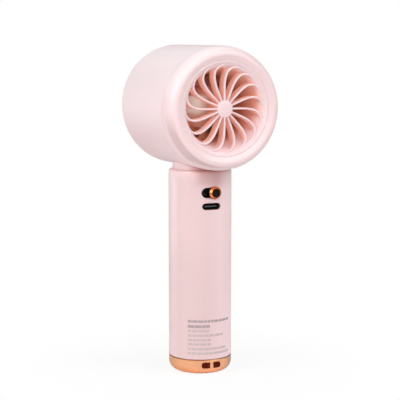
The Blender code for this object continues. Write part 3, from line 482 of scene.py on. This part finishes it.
# Finish, then surface()'s values: name, colour, roughness, metallic, spread, grain, depth, stretch
PLAIN_FINISHES = (
    ("bright_rose_gold", "polished_rose_gold", (0.90, 0.27, 0.09), 0.24, 1.0, 0.02, 2200.0, 0.002),
    ("black", "black_plastic", (0.006, 0.005, 0.005), 0.38, 0.0, 0.2, 1800.0, 0.01),
    ("gloss_black", "gloss_black", (0.014, 0.008, 0.006), 0.2, 0.0, 0.2, 900.0, 0.002),
    ("socket", "socket_black", (0.008, 0.008, 0.009), 0.4, 0.0, 0.1, 1800.0, 0.01),
    # The tongue's grey is lighter than its black plastic: a painted highlight.
    ("grey", "tongue_grey", (0.075, 0.078, 0.085), 0.35, 0.0, 0.1, 1800.0, 0.01),
    ("white", "white_plastic", (0.78, 0.77, 0.74), 0.5, 0.0, 0.03),
    ("steel", "steel", (0.60, 0.59, 0.58), 0.28, 1.0, 0.06, 1200.0, 0.004),
    ("dark_steel", "dark_steel", (0.16, 0.16, 0.17), 0.42, 1.0, 0.1, 1200.0, 0.008),
    ("magnet", "magnet", (0.07, 0.07, 0.075), 0.55, 0.5, 0.1, 1200.0, 0.02),
    ("laminations", "laminations", (0.45, 0.44, 0.43), 0.4, 1.0, 0.1, 1200.0, 0.01, (1, 30, 1)),
    ("copper", "copper_wire", (0.75, 0.30, 0.13), 0.3, 1.0, 0.15, 900.0, 0.05, (1, 6, 1)),
    ("board", "board_green", (0.02, 0.16, 0.07), 0.4, 0.0, 0.25, 700.0, 0.02),
    ("cell", "cell_wrap", (0.04, 0.13, 0.36), 0.35, 0.0, 0.05, 500.0, 0.008),
    ("foam", "foam", (0.05, 0.05, 0.055), 0.95, 0.0, 0.3, 1500.0, 0.25),
    ("red_wire", "red_wire", (0.55, 0.02, 0.02), 0.45, 0.0, 0.06),
)
DULL_FINISHES = ("black", "gloss_black", "socket")

MATERIALS = {}


def make_materials():
    MATERIALS["pink"] = make_handle_pink()
    MATERIALS["ring_pink"] = make_ring_pink()
    MATERIALS["casing_pink"] = make_casing_pink()
    MATERIALS["outlet"] = make_outlet_pink()
    MATERIALS["duct_painted_shade"] = make_duct_painted_shade()
    MATERIALS["milky"] = make_milky()
    MATERIALS["rose_gold"] = make_rose_gold()
    MATERIALS["ink"] = make_ink()
    for finish, *values in PLAIN_FINISHES:
        MATERIALS[finish] = surface(*values)
    for finish in DULL_FINISHES:
        MATERIALS[finish].shader.inputs["Specular IOR Level"].default_value = 0.12


# --- Mesh helpers ---------------------------------------------------------------------------------
def finish_piece(name, shape, finish, body, replaced=(), sharp_deg=38.0):
    """Makes an object of a bmesh, smooth but for its real edges, and puts it on a body."""
    mesh = bpy.data.meshes.new(name)
    shape.to_mesh(mesh)
    shape.free()
    mesh.shade_smooth()
    mesh.set_sharp_from_angle(angle=math.radians(sharp_deg))
    mesh.materials.append(MATERIALS[finish].material)
    obj = bpy.data.objects.new(name, mesh)
    bpy.context.scene.collection.objects.link(obj)
    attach(obj, body)
    if replaced:
        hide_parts(*replaced)


def arc(centre, radii, start_deg, end_deg, steps):
    """Points round part of an ellipse."""
    points = []
    for i in range(steps + 1):
        angle = math.radians(start_deg + (end_deg - start_deg) * i / steps)
        x, y = radii[0] * math.cos(angle), radii[1] * math.sin(angle)
        points.append((centre[0] + x, centre[1] + y))
    return points


def softened(corners, closed=True, steps=4):
    """The outline with each (x, y, fillet) corner rounded off, but for the ends of an open one."""
    points = []
    count = len(corners)
    for i, corner in enumerate(corners):
        here = Vector(corner[:2])
        fillet = corner[2] if len(corner) > 2 else 0.0
        at_end = not closed and i in (0, count - 1)
        if fillet == 0.0 or at_end:
            points.append(tuple(here))
            continue
        before = Vector(corners[i - 1][:2]) - here
        after = Vector(corners[(i + 1) % count][:2]) - here
        half_angle = before.angle(after) / 2
        reach = min(fillet / math.tan(half_angle), before.length * 0.48, after.length * 0.48)
        start = here + before.normalized() * reach
        end = here + after.normalized() * reach
        for k in range(steps + 1):
            t = k / steps
            points.append(tuple(start.lerp(here, t).lerp(here.lerp(end, t), t)))
    return points


def turned(points, place=UPRIGHT, steps=160, closed=True):
    """A bmesh solid of revolution about local Z from (radius, height) points.

    The profile is a loop, or, where closed is false, a line that starts and ends on the axis."""
    shape = bmesh.new()
    verts = [shape.verts.new((radius, 0.0, height)) for radius, height in points]
    edges = [shape.edges.new(pair) for pair in zip(verts, verts[1:])]
    if closed:
        edges.append(shape.edges.new((verts[-1], verts[0])))
    bmesh.ops.spin(
        shape, geom=verts + edges, cent=(0, 0, 0), axis=(0, 0, 1), angle=math.tau, steps=steps,
        use_merge=True,
    )
    bmesh.ops.remove_doubles(shape, verts=shape.verts, dist=MERGE_DISTANCE)
    face_outwards(shape)
    shape.transform(place)
    return shape


def face_outwards(shape):
    """Turns the faces of a closed bmesh, or of several alike, to face out."""
    bmesh.ops.recalc_face_normals(shape, faces=shape.faces)
    if shape.calc_volume(signed=True) < 0:
        bmesh.ops.reverse_faces(shape, faces=shape.faces)


def loft(rings, place=UPRIGHT):
    """A closed solid through rings of the same number of points, with both ends capped."""
    shape = bmesh.new()
    add_loft(shape, rings)
    face_outwards(shape)
    shape.transform(place)
    return shape


def add_loft(shape, rings):
    """Adds a tube through the rings, with both ends capped, to a bmesh."""
    rows = [[shape.verts.new(point) for point in ring] for ring in rings]
    count = len(rows[0])
    for first, second in zip(rows, rows[1:]):
        for i in range(count):
            j = (i + 1) % count
            shape.faces.new((first[i], first[j], second[j], second[i]))
    shape.faces.new(reversed(rows[0]))
    shape.faces.new(rows[-1])


def combined(base, others, operation):
    """The bmesh base with each of the other bmeshes joined to it or cut from it, exactly."""
    mesh = bpy.data.meshes.new("combined")
    base.to_mesh(mesh)
    base.free()
    target = bpy.data.objects.new("combined", mesh)
    bpy.context.scene.collection.objects.link(target)
    helpers = []
    for other in others:
        tool_mesh = bpy.data.meshes.new("tool")
        other.to_mesh(tool_mesh)
        other.free()
        tool = bpy.data.objects.new("tool", tool_mesh)
        bpy.context.scene.collection.objects.link(tool)
        helpers.append(tool)
        modifier = target.modifiers.new("boolean", "BOOLEAN")
        modifier.operation = operation
        modifier.solver = "EXACT"
        modifier.object = tool
    graph = bpy.context.evaluated_depsgraph_get()
    result = bmesh.new()
    result.from_mesh(bpy.data.meshes.new_from_object(target.evaluated_get(graph)))
    for helper in [*helpers, target]:
        bpy.data.objects.remove(helper)
    bmesh.ops.remove_doubles(result, verts=result.verts, dist=MERGE_DISTANCE)
    return result


def stadium(length, height):
    """A long slot's outline, with round ends."""
    steps = 10
    radius = height / 2
    reach = length / 2 - radius
    right = arc((reach, 0.0), (radius, radius), -90, 90, steps)
    left = arc((-reach, 0.0), (radius, radius), 90, 270, steps)
    return right + left


def opening_tool(outline_at, centre_height, inner_radius, chamfer):
    """A tool that cuts an opening through the handle's front and chamfers its edge along the curve.

    outline_at(grow) is the opening's outline, grown outwards by that much."""
    clear = 1.5 * MM
    rings = []
    for radius, grow in (
        (inner_radius, 0.0),
        (HANDLE_RADIUS - chamfer, 0.0),
        (HANDLE_RADIUS, chamfer),
        (HANDLE_RADIUS + clear, chamfer + clear),
    ):
        ring = []
        for x, z in outline_at(grow):
            across = FRONT_OFFSET + x
            ring.append((across, -math.sqrt(radius**2 - across**2), centre_height + z))
        rings.append(ring)
    return loft(rings)


# --- Handle ---------------------------------------------------------------------------------------
def build_handle():
    """The tube, rounded at the top, with its openings for the switch and for charging."""
    inner = HANDLE_RADIUS - 1.6 * MM
    rounding = 1.4 * MM
    edge_break = 0.25 * MM
    lid = HANDLE_TOP - 1.8 * MM
    mouth = 11.3 * MM
    # The wall has many rows of faces where the openings are cut
    start, fine_from, fine_to = HANDLE_BOTTOM, USB_HEIGHT - 4 * MM, HANDLE_TOP - rounding
    coarse_rows, fine_rows = 12, 44
    wall = [start + (fine_from - start) * (i + 1) / coarse_rows for i in range(coarse_rows)]
    wall += [fine_from + (fine_to - fine_from) * (i + 1) / fine_rows for i in range(fine_rows - 1)]
    profile = [(inner, start), (HANDLE_RADIUS - edge_break, start)]
    profile += [(HANDLE_RADIUS, height) for height in [start + edge_break, *wall]]
    profile += arc((HANDLE_RADIUS - rounding, fine_to), (rounding, rounding), 0, 90, 8)
    profile += [(mouth, HANDLE_TOP), (mouth, lid), (inner, lid)]
    tube = turned(profile, steps=240)

    def switch_outline(grow):
        return stadium(SLOT_WIDTH + 2 * grow, SLOT_HEIGHT + 2 * grow)

    def usb_outline(grow):
        return stadium(USB_WIDTH + 2 * grow, USB_OPENING_HEIGHT + 2 * grow)

    reach = 10.5 * MM
    switch_tool = opening_tool(switch_outline, SWITCH_HEIGHT, reach, 0.25 * MM)
    usb_tool = opening_tool(usb_outline, USB_HEIGHT, reach, 0.2 * MM)
    tube = combined(tube, [switch_tool, usb_tool], "DIFFERENCE")
    finish_piece("handle_shell", tube, "pink", HOUSING, ["handle_tube"])


def build_base_cap():
    """The cap, with a plug up inside the handle and a slot on each side of a bar for the cord."""
    rounding = 5.0 * MM
    edge_break = 0.2 * MM
    corner = HANDLE_RADIUS - rounding
    floor = 1.8 * MM
    bore, plug, plug_top = 12.7 * MM, HANDLE_RADIUS - 1.8 * MM, 13.0 * MM
    profile = [(0.0, floor), (bore - 1.5 * MM, floor), (bore, 2 * floor), (bore, plug_top)]
    profile += [(plug, plug_top), (plug, CAP_TOP), (HANDLE_RADIUS - edge_break, CAP_TOP)]
    profile += [(HANDLE_RADIUS, CAP_TOP - drop) for drop in (edge_break, 0.9 * MM, 1.8 * MM)]
    profile += arc((corner, rounding), (rounding, rounding), 0, -90, 22)
    profile += [(corner / 2, 0.0), (0.0, 0.0)]
    cap = turned(profile, steps=240, closed=False)
    slot_width, slot_height, slot_centre, bar = 10.2 * MM, 3.0 * MM, 4.95 * MM, 1.7 * MM
    bar_fillet, end_fillet = 0.35 * MM, 1.3 * MM

    def half_slot(side):
        def outline_at(grow):
            near = bar / 2 - grow
            far = slot_width / 2 + grow
            half = slot_height / 2 + grow
            corners = [(near, -half, bar_fillet), (far, -half, end_fillet)]
            corners += [(far, half, end_fillet), (near, half, bar_fillet)]
            return [(side * x, z) for x, z in softened(corners, steps=5)]

        return opening_tool(outline_at, slot_centre, 9.0 * MM, 0.2 * MM)

    cap = combined(cap, [half_slot(-1), half_slot(1)], "DIFFERENCE")
    finish_piece("cap_shell", cap, "rose_gold", HOUSING, ["base_cap"])


def add_bar(shape, start_deg, end_deg, centre, height):
    """A thin printed bar that lies on the handle."""
    inside, outside = HANDLE_RADIUS - 0.02 * MM, HANDLE_RADIUS + 0.015 * MM
    bottom, top = centre - height / 2, centre + height / 2
    steps = max(2, int((end_deg - start_deg) / 3))
    rings = []
    for i in range(steps + 1):
        angle = math.radians(start_deg + (end_deg - start_deg) * i / steps)
        x, y = math.sin(angle), -math.cos(angle)
        corners = ((inside, bottom), (outside, bottom), (outside, top), (inside, top))
        rings.append([(radius * x, radius * y, z) for radius, z in corners])
    add_loft(shape, rings)


def build_label():
    """Rows of plain bars where a maker would print the rating text: they spell nothing."""
    # Each row's distance below the first, the angle where it ends and its height, in mm and degrees
    rows = (
        (0.0, 37.5, 1.25), (2.6, -5.4, 1.5), (4.9, -8.8, 1.25), (7.3, 20.3, 1.2),
        (9.6, -5.9, 1.25), (11.8, -5.9, 1.25), (14.2, 27.5, 1.25), (16.5, 37.3, 1.25),
    )
    shortest_deg = 3.0
    chance = random.Random(7)
    shape = bmesh.new()
    for drop, end_deg, height in rows:
        angle = LABEL_LEFT_DEG
        while angle < end_deg - shortest_deg:
            stop = min(end_deg, angle + chance.uniform(5.0, 13.0))
            add_bar(shape, angle, stop, LABEL_TOP - drop * MM, height * MM)
            angle = stop + chance.uniform(0.8, 1.5)
    face_outwards(shape)
    finish_piece("printed_bars", shape, "ink", HOUSING)


# --- Switch and charging socket -------------------------------------------------------------------
def build_switch():
    """The knob: a low cone with a dished inlay in its face."""
    face = -low("knob_cap").y
    back = -high("knob_cap").y
    radius = width("knob_cap") / 2
    place = Matrix.Translation((middle("knob_cap").x, 0.0, SWITCH_HEIGHT)) @ FORWARDS
    face_radius = 2.5 * MM
    pocket_radius = width("knob_inlay") / 2 + 0.06 * MM
    inlay_radius = pocket_radius - 0.04 * MM
    bore = 2.0 * MM
    pocket = face - 0.35 * MM
    bore_end = face - 0.7 * MM
    profile = softened([
        (0.0, pocket), (pocket_radius, pocket, 0.03 * MM), (pocket_radius, face, 0.05 * MM),
        (face_radius, face, 0.12 * MM), (radius, back + 0.3 * MM, 0.2 * MM),
        (radius, back, 0.1 * MM), (bore, back), (bore, bore_end), (0.0, bore_end),
    ], closed=False)
    knob = turned(profile, place, 96, closed=False)
    finish_piece("knob_shell", knob, "bright_rose_gold", SWITCH, ["knob_cap"], 50.0)
    inlay = [(0.0, face - 0.3 * MM), (inlay_radius, face - 0.3 * MM, 0.02 * MM)]
    inlay += [(inlay_radius, face - 0.02 * MM, 0.06 * MM), (0.0, face - 0.1 * MM)]
    disc = turned(softened(inlay, closed=False), place, 96, closed=False)
    finish_piece("knob_face", disc, "gloss_black", SWITCH, ["knob_inlay"], 60.0)


def build_socket():
    """The charging socket's metal shell: an open tube with a rounded mouth."""
    front = -low("usb_shell").y
    back = -high("usb_shell").y
    place = Matrix.Translation((FRONT_OFFSET, 0.0, USB_HEIGHT)) @ FORWARDS
    shell_width = width("usb_shell")
    shell_height = high("usb_shell").z - low("usb_shell").z
    lip, wall, depth = 0.1 * MM, 0.35 * MM, back + 1.0 * MM

    def ring(inset, height):
        outline = stadium(shell_width - 2 * inset, shell_height - 2 * inset)
        return [(x, y, height) for x, y in outline]

    rings = [ring(0.0, back), ring(0.0, front - lip), ring(lip, front), ring(wall - lip, front)]
    rings += [ring(wall, front - lip), ring(wall, depth)]
    finish_piece("socket_shell", loft(rings, place), "socket", HOUSING, ["usb_shell"])


# --- Neck -----------------------------------------------------------------------------------------
def build_neck():
    """The collar: a short tube whose top follows the round of the head, with a small edge break."""
    bottom = HANDLE_TOP + 0.1 * MM
    bore = 6.0 * MM
    clear = HEAD_RADIUS + 0.05 * MM
    break_size = 0.15 * MM
    spigot = 11.1 * MM
    spigot_bottom = low("neck_collar").z
    count = 120
    shape = bmesh.new()
    rows = []
    for i in range(count):
        angle = math.tau * i / count

        def at(radius, height, angle=angle):
            return shape.verts.new((radius * math.cos(angle), radius * math.sin(angle), height))

        def under_head(radius, angle=angle):
            return HEAD_HEIGHT - math.sqrt(clear**2 - (radius * math.cos(angle)) ** 2)

        outer_top = under_head(NECK_RADIUS)
        side = max(bottom + 0.05 * MM, outer_top - break_size)
        corner = NECK_RADIUS - break_size
        rows.append([
            at(bore, spigot_bottom), at(spigot, spigot_bottom), at(spigot, bottom),
            at(NECK_RADIUS, bottom), at(NECK_RADIUS, side), at(corner, under_head(corner)),
            at(bore, under_head(bore)),
        ])
    for i in range(count):
        first, second = rows[i], rows[(i + 1) % count]
        for j in range(len(first)):
            k = (j + 1) % len(first)
            shape.faces.new((first[j], second[j], second[k], first[k]))
    face_outwards(shape)
    finish_piece("neck_shell", shape, "pink", HOUSING, ["neck_collar"])


# --- Head shells ----------------------------------------------------------------------------------
def build_head_casing():
    """The drum, rounded in to the mouth at the back and rebated at the seam with the front ring."""
    inner = HEAD_RADIUS - HEAD_WALL
    rounding = 5.5 * MM
    centre = (HEAD_RADIUS - rounding, HEAD_REAR + rounding)
    mouth = 24.4 * MM
    seam_break = 0.2 * MM
    rebate, rebate_end = inner + 0.9 * MM, HEAD_SEAM - 2.0 * MM
    profile = [(HEAD_RADIUS - seam_break, HEAD_SEAM), (HEAD_RADIUS, HEAD_SEAM - seam_break)]
    profile += [(HEAD_RADIUS, HEAD_SEAM - 12 * MM * i) for i in (0.1, 1, 2, 3)]
    profile += arc(centre, (rounding, rounding), 0, -90, 20)
    profile += softened([
        (mouth + 1 * MM, HEAD_REAR), (mouth, HEAD_REAR, 0.3 * MM),
        (mouth, HEAD_REAR + HEAD_WALL, 0.1 * MM), (mouth + 0.5 * MM, HEAD_REAR + HEAD_WALL),
    ], closed=False)
    profile += arc(centre, (rounding - HEAD_WALL,) * 2, -90, 0, 8)
    profile += [(inner, rebate_end), (rebate, rebate_end), (rebate, HEAD_SEAM)]
    casing = turned(profile, HEAD, 240)
    finish_piece("casing_shell", casing, "casing_pink", HOUSING, ["head_casing"])


def build_front_ring():
    """A roll up to a crest, then a crisp turn on to the slope that runs in to the grille."""
    seam = HEAD_SEAM + 0.15 * MM
    inner = HEAD_RADIUS - HEAD_WALL
    centre = (26.4 * MM, 21.6 * MM)
    roll = (HEAD_RADIUS - centre[0], HEAD_FRONT - centre[1])
    inside_roll = (inner - centre[0], roll[1] - HEAD_WALL)
    slope_end = 29.25 * MM
    wall_end, wall_outer, wall_top = 24.0 * MM, 24.9 * MM, 28.2 * MM
    tongue, tongue_low = inner + 0.75 * MM, HEAD_SEAM - 1.8 * MM
    profile = [(HEAD_RADIUS - 0.2 * MM, seam), (HEAD_RADIUS, seam + 0.2 * MM)]
    profile += arc(centre, roll, 0, 90, 30)
    profile += softened([
        (26.35 * MM, HEAD_FRONT), (25.9 * MM, HEAD_FRONT - 0.03 * MM, 0.5 * MM),
        (OUTLET_RADIUS, slope_end, 0.1 * MM),
        (OUTLET_RADIUS, wall_end), (wall_outer, wall_end), (wall_outer, wall_top),
    ], closed=False)
    profile += arc(centre, inside_roll, 90, 0, 8)
    profile += [(inner, tongue_low), (tongue, tongue_low), (tongue, seam)]
    ring = turned(profile, HEAD, 240)
    finish_piece("front_ring_shell", ring, "ring_pink", HOUSING, ["front_ring"], 30.0)


def polar(radius, angle, height):
    return Vector((radius * math.cos(angle), radius * math.sin(angle), height))


def blade_rings(radii, angle_at, half_width_at, section, stations):
    """Cross-sections of a curved rib at even steps of radius.

    section is a loop of (across, height) points, with across from -1 to 1."""
    step = 0.01
    rings = []
    for i in range(stations + 1):
        s = i / stations
        radius = radii[0] + (radii[1] - radii[0]) * s
        half = half_width_at(s)
        ring = []
        for across, height in section:
            here = polar(radius, angle_at(s, height), height)
            there = polar(radius + (radii[1] - radii[0]) * step, angle_at(s + step, height), height)
            along = (there - here).normalized()
            sideways = Vector((-along.y, along.x, 0.0))
            ring.append(here + sideways * across * half)
        rings.append(ring)
    return rings


def rib_section(top, bottom):
    """A rib's outline, round at the top and square at the bottom, with rows for a curved side."""
    nose = 0.5 * MM
    rows = 3
    points = arc((0.0, top - nose), (1.0, nose), 0, 180, 5)
    left = [(-1.0, top - nose + (bottom - top + nose) * (i + 1) / rows) for i in range(rows)]
    right = [(1.0, height) for _, height in reversed(left)]
    return points + left + right


def fan_out(rib, count):
    """Copies of a rib at even turns about the head's axis, the first pointing up."""
    shape = bmesh.new()
    for i in range(count):
        turn = Matrix.Rotation(math.pi / 2 + math.tau * i / count, 4, "Z")
        add_loft(shape, [[turn @ point for point in ring] for ring in rib])
    face_outwards(shape)
    shape.transform(HEAD)
    return shape


def build_outlet_grille():
    """The rim with its bead, land and funnel, joined to the vanes and the hub."""
    outer = OUTLET_RADIUS + 0.02 * MM
    back = -high("outlet_grille").y
    flange_low, flange_high, flange_radius = 21.8 * MM, 23.8 * MM, 28.4 * MM
    duct_outer = DUCT_RADIUS + DUCT_WALL
    profile = softened([
        (DUCT_RADIUS, back), (DUCT_RADIUS, FUNNEL_REAR, 6.0 * MM),
        (20.0 * MM, VANE_FRONT - 2.2 * MM, 1.5 * MM),
        (LAND_RADIUS, VANE_FRONT - 0.6 * MM, 0.8 * MM),
        (21.9 * MM, VANE_FRONT + 0.15 * MM, 0.6 * MM), (22.5 * MM, 29.0 * MM, 0.4 * MM),
        (23.1 * MM, 29.2 * MM, 0.5 * MM), (outer, 29.05 * MM, 0.1 * MM), (outer, flange_high),
        (flange_radius, flange_high, 0.2 * MM), (flange_radius, flange_low, 0.2 * MM),
        (20.5 * MM, flange_low), (duct_outer, FUNNEL_REAR), (duct_outer, back),
    ], closed=False, steps=6)
    ring = turned(profile, HEAD, 240)
    innermost, outermost, spread = 3.0 * MM, 22.1 * MM, 18.9 * MM

    def vane_angle(s, height):
        radius = innermost + s * (outermost - innermost)
        share = max(0.0, (radius - OUTLET_HUB_RADIUS) / spread)
        return math.radians(-19.0 * share**4 - 50.0 * share**20)

    def half_width(s):
        return (0.41 + 0.09 * s) * MM

    section = rib_section(VANE_FRONT, VANE_FRONT - VANE_DEPTH)
    vane = blade_rings((innermost, outermost), vane_angle, half_width, section, 32)
    vanes = fan_out(vane, VANE_COUNT)
    face, hub_rear = 28.9 * MM, 16.3 * MM
    hub = turned(softened([
        (0.0, face), (2.4 * MM, face - 0.1 * MM, 1.0 * MM),
        (OUTLET_HUB_RADIUS, face - 0.5 * MM, 0.6 * MM), (OUTLET_HUB_RADIUS, hub_rear, 0.3 * MM),
        (0.0, hub_rear),
    ], closed=False, steps=6), HEAD, 96, closed=False)
    grille = combined(ring, [vanes, hub], "UNION")
    finish_piece("outlet_vanes", grille, "outlet", HOUSING, ["outlet_grille"], 45.0)


def build_rear_grille():
    """The intake: a rim, curved ribs, a ring half-way and a disc in the middle."""
    outside, inside = -33.0 * MM, -31.0 * MM
    rim_bore, step, rim_radius, rim_top = 21.8 * MM, 24.2 * MM, 25.3 * MM, -30.2 * MM
    rim = turned(softened([
        (step, inside - 0.25 * MM), (rim_radius, inside - 0.25 * MM), (rim_radius, rim_top),
        (rim_bore, rim_top, 0.3 * MM), (rim_bore, outside, 0.5 * MM), (step, outside, 0.25 * MM),
    ]), HEAD, 200)

    def rib_angle(s, height):
        return math.radians(27.0 * s**3.0)

    section = [(across, -height) for across, height in rib_section(-outside - 0.3 * MM, -inside)]
    rib = blade_rings((5.2 * MM, 22.3 * MM), rib_angle, lambda s: 0.55 * MM, section, 16)
    ribs = fan_out(rib, RIB_COUNT)
    ring_outer, ring_inner, disc_radius = 14.4 * MM, 13.2 * MM, 6.2 * MM
    ring = turned(softened([
        (ring_outer, inside + 0.2 * MM, 0.2 * MM), (ring_outer, outside + 0.2 * MM, 0.4 * MM),
        (ring_inner, outside + 0.2 * MM, 0.4 * MM), (ring_inner, inside + 0.2 * MM, 0.2 * MM),
    ]), HEAD, 160)
    disc = turned(softened([
        (0.0, outside + 0.1 * MM), (disc_radius, outside + 0.1 * MM, 0.7 * MM),
        (disc_radius, inside + 0.3 * MM), (0.0, inside + 0.3 * MM),
    ], closed=False), HEAD, 120, closed=False)
    grille = combined(rim, [ribs, ring, disc], "UNION")
    replaced = ["rear_grille"]
    finish_piece("intake_grille", grille, "casing_pink", HOUSING, replaced, 45.0)


# --- Rotor ----------------------------------------------------------------------------------------
def build_impeller():
    """The wheel: a domed hub, open at the back, with twisted blades."""
    front, rear = 6.8 * MM, -6.8 * MM
    skin = 0.95 * MM
    dome, dome_rim = 10.6 * MM, front - 1.0 * MM
    bore, boss_end, bore_end = 1.04 * MM, 5.8 * MM, 9.0 * MM
    profile = [(0.0, dome)] + arc((0.0, dome_rim), (WHEEL_HUB_RADIUS, dome - dome_rim), 86, 0, 14)
    profile += softened([
        (WHEEL_HUB_RADIUS, front - 1.4 * MM), (WHEEL_HUB_RADIUS, rear, 0.3 * MM),
        (WHEEL_HUB_RADIUS - skin, rear, 0.2 * MM), (WHEEL_HUB_RADIUS - skin, boss_end),
        (bore, boss_end), (bore, bore_end), (0.0, bore_end),
    ], closed=False)
    hub = turned(profile, HEAD, 160, closed=False)
    bottom, top = rear + 0.4 * MM, front - 0.8 * MM

    def blade_angle(s, height):
        t = (height - bottom) / (top - bottom)
        wrap = 62.0 - 8.0 * s
        return math.radians(wrap * (0.5 - t) - 10.0 * s * s)

    rows = 10
    heights = [bottom + (top - bottom) * (i + 0.5) / rows for i in range(rows)]
    section = [(0.0, bottom)] + [(1.0, height) for height in heights]
    section += [(0.0, top)] + [(-1.0, height) for height in reversed(heights)]
    root, tip = WHEEL_HUB_RADIUS - 0.5 * MM, width("impeller") / 2 - 0.15 * MM
    blade = blade_rings((root, tip), blade_angle, lambda s: (0.55 - 0.2 * s) * MM, section, 10)
    rotor = combined(hub, [fan_out(blade, BLADE_COUNT)], "UNION")
    finish_piece("rotor_wheel", rotor, "milky", ROTOR, ["impeller"], 45.0)


# --- CAD nodes that stay --------------------------------------------------------------------------
def dress_cad_nodes():
    """Gives the CAD nodes that no piece replaces their finish: steel, if they aren't listed."""
    finishes = {
        "inner_frame": "white", "neck_nut": "white", "usb_tongue": "grey", "main_board": "board",
        "battery_cell": "cell", "battery_foam": "foam", "battery_wire_red": "red_wire",
        "battery_wire_black": "black", "motor_cable": "black", "driver_chip": "black",
        "switch_guide": "black", "switch_lever": "black", "knob_stem": "black",
        # The duct and the white motor bracket both take the duct's painted shade.
        "air_duct": "duct_painted_shade", "motor_bracket": "duct_painted_shade", "motor_base": "dark_steel",
        "rotor_can": "dark_steel", "rotor_magnet": "magnet", "stator_core": "laminations",
        "stator_winding": "copper",
    }
    for name, obj in frame["nodes"].items():
        if obj.hide_render:
            continue
        material = MATERIALS[finishes.get(name, "steel")].material
        for slot in obj.material_slots:
            slot.link = "OBJECT"
            slot.material = material


# --- Studio ---------------------------------------------------------------------------------------
def build_stage():
    """A pale floor that fades into the white room, so that no horizon shows.

    The camera sees it nearly white, with a faint shadow under the base. The object sees plain
    white card."""
    floor_radius, fade_from, fade_to = 250.0 * MM, 30.0 * MM, 110.0 * MM
    whiteness = 0.86
    graph = Graph("studio_floor")
    card = graph.shader
    card.inputs["Base Color"].default_value = (0.95, 0.95, 0.95, 1.0)
    card.inputs["Roughness"].default_value = 0.9
    card.inputs["Specular IOR Level"].default_value = 0.0
    glow = graph.add("Emission")
    seen = graph.add("MixShader")
    seen.inputs["Fac"].default_value = whiteness
    graph.link(card.outputs["BSDF"], seen.inputs[1])
    graph.link(glow.outputs["Emission"], seen.inputs[2])
    fade = graph.add("MixShader")
    graph.link(graph.ramp(graph.radius((1.0, 1.0, 1.0)), fade_from, fade_to), fade.inputs["Fac"])
    graph.link(seen.outputs["Shader"], fade.inputs[1])
    graph.link(graph.add("BsdfTransparent").outputs["BSDF"], fade.inputs[2])
    path = graph.add("LightPath")
    floor_look = graph.add("MixShader")
    graph.link(path.outputs["Is Camera Ray"], floor_look.inputs["Fac"])
    graph.link(card.outputs["BSDF"], floor_look.inputs[1])
    graph.link(fade.outputs["Shader"], floor_look.inputs[2])
    graph.link(floor_look.outputs["Shader"], graph.tree.nodes["Material Output"].inputs["Surface"])
    shape = bmesh.new()
    bmesh.ops.create_circle(shape, cap_ends=True, radius=floor_radius, segments=96)
    mesh = bpy.data.meshes.new("floor")
    shape.to_mesh(mesh)
    shape.free()
    mesh.materials.append(graph.material)
    floor = bpy.data.objects.new("floor", mesh)
    floor.location.z = -0.02 * MM
    bpy.context.scene.collection.objects.link(floor)


def aimed(obj, place, target):
    """Puts a light or a camera in the scene, turned towards the target."""
    obj.location = place
    obj.rotation_euler = (Vector(target) - Vector(place)).to_track_quat("-Z", "Y").to_euler()
    bpy.context.scene.collection.objects.link(obj)


def add_light(name, place, size, power):
    """A round white lamp that faces the head. The size is in metres and the power in watts."""
    light = bpy.data.lights.new(name, "AREA")
    light.shape = "DISK"
    light.size = size
    light.energy = power
    aimed(bpy.data.objects.new(name, light), place, (0.0, 0.0, 0.13))


def build_studio():
    """A white room for the camera to look at, and a dimmer one to light the object."""
    white = (1.0, 1.0, 1.0, 1.0)
    seen_strength, lighting_strength = 1.0, 0.42
    world = bpy.data.worlds.new("studio")
    bpy.context.scene.world = world
    world.use_nodes = True
    tree = world.node_tree
    lighting = tree.nodes["Background"]
    lighting.inputs["Color"].default_value = white
    lighting.inputs["Strength"].default_value = lighting_strength
    seen = tree.nodes.new("ShaderNodeBackground")
    seen.inputs["Color"].default_value = white
    seen.inputs["Strength"].default_value = seen_strength
    path = tree.nodes.new("ShaderNodeLightPath")
    mix = tree.nodes.new("ShaderNodeMixShader")
    tree.links.new(path.outputs["Is Camera Ray"], mix.inputs["Fac"])
    tree.links.new(lighting.outputs["Background"], mix.inputs[1])
    tree.links.new(seen.outputs["Background"], mix.inputs[2])
    tree.links.new(mix.outputs["Shader"], tree.nodes["World Output"].inputs["Surface"])
    add_light("left", (-0.5, -0.12, 0.30), 0.45, 1.6)
    add_light("front", (-0.05, -0.55, 0.42), 0.5, 1.1)
    add_light("right", (0.55, -0.6, 0.85), 0.6, 3.8)


def build_camera():
    """A long lens, a little left of the outlet and about level with the top of the head."""
    azimuth = math.radians(-25.6)
    distance, height, look_height = 658.6 * MM, 170.8 * MM, 87.5 * MM
    camera = bpy.data.cameras.new("camera")
    camera.lens = 117.2
    camera.sensor_width = 36.0
    obj = bpy.data.objects.new("camera", camera)
    place = (distance * math.sin(azimuth), -distance * math.cos(azimuth), height)
    aimed(obj, place, (0.0, 0.0, look_height))
    bpy.context.scene.camera = obj
    bpy.context.scene.view_settings.view_transform = "Standard"


make_materials()
build_handle()
build_base_cap()
build_label()
build_switch()
build_socket()
build_neck()
build_head_casing()
build_front_ring()
build_outlet_grille()
build_rear_grille()
build_impeller()
dress_cad_nodes()
build_stage()
build_studio()
build_camera()
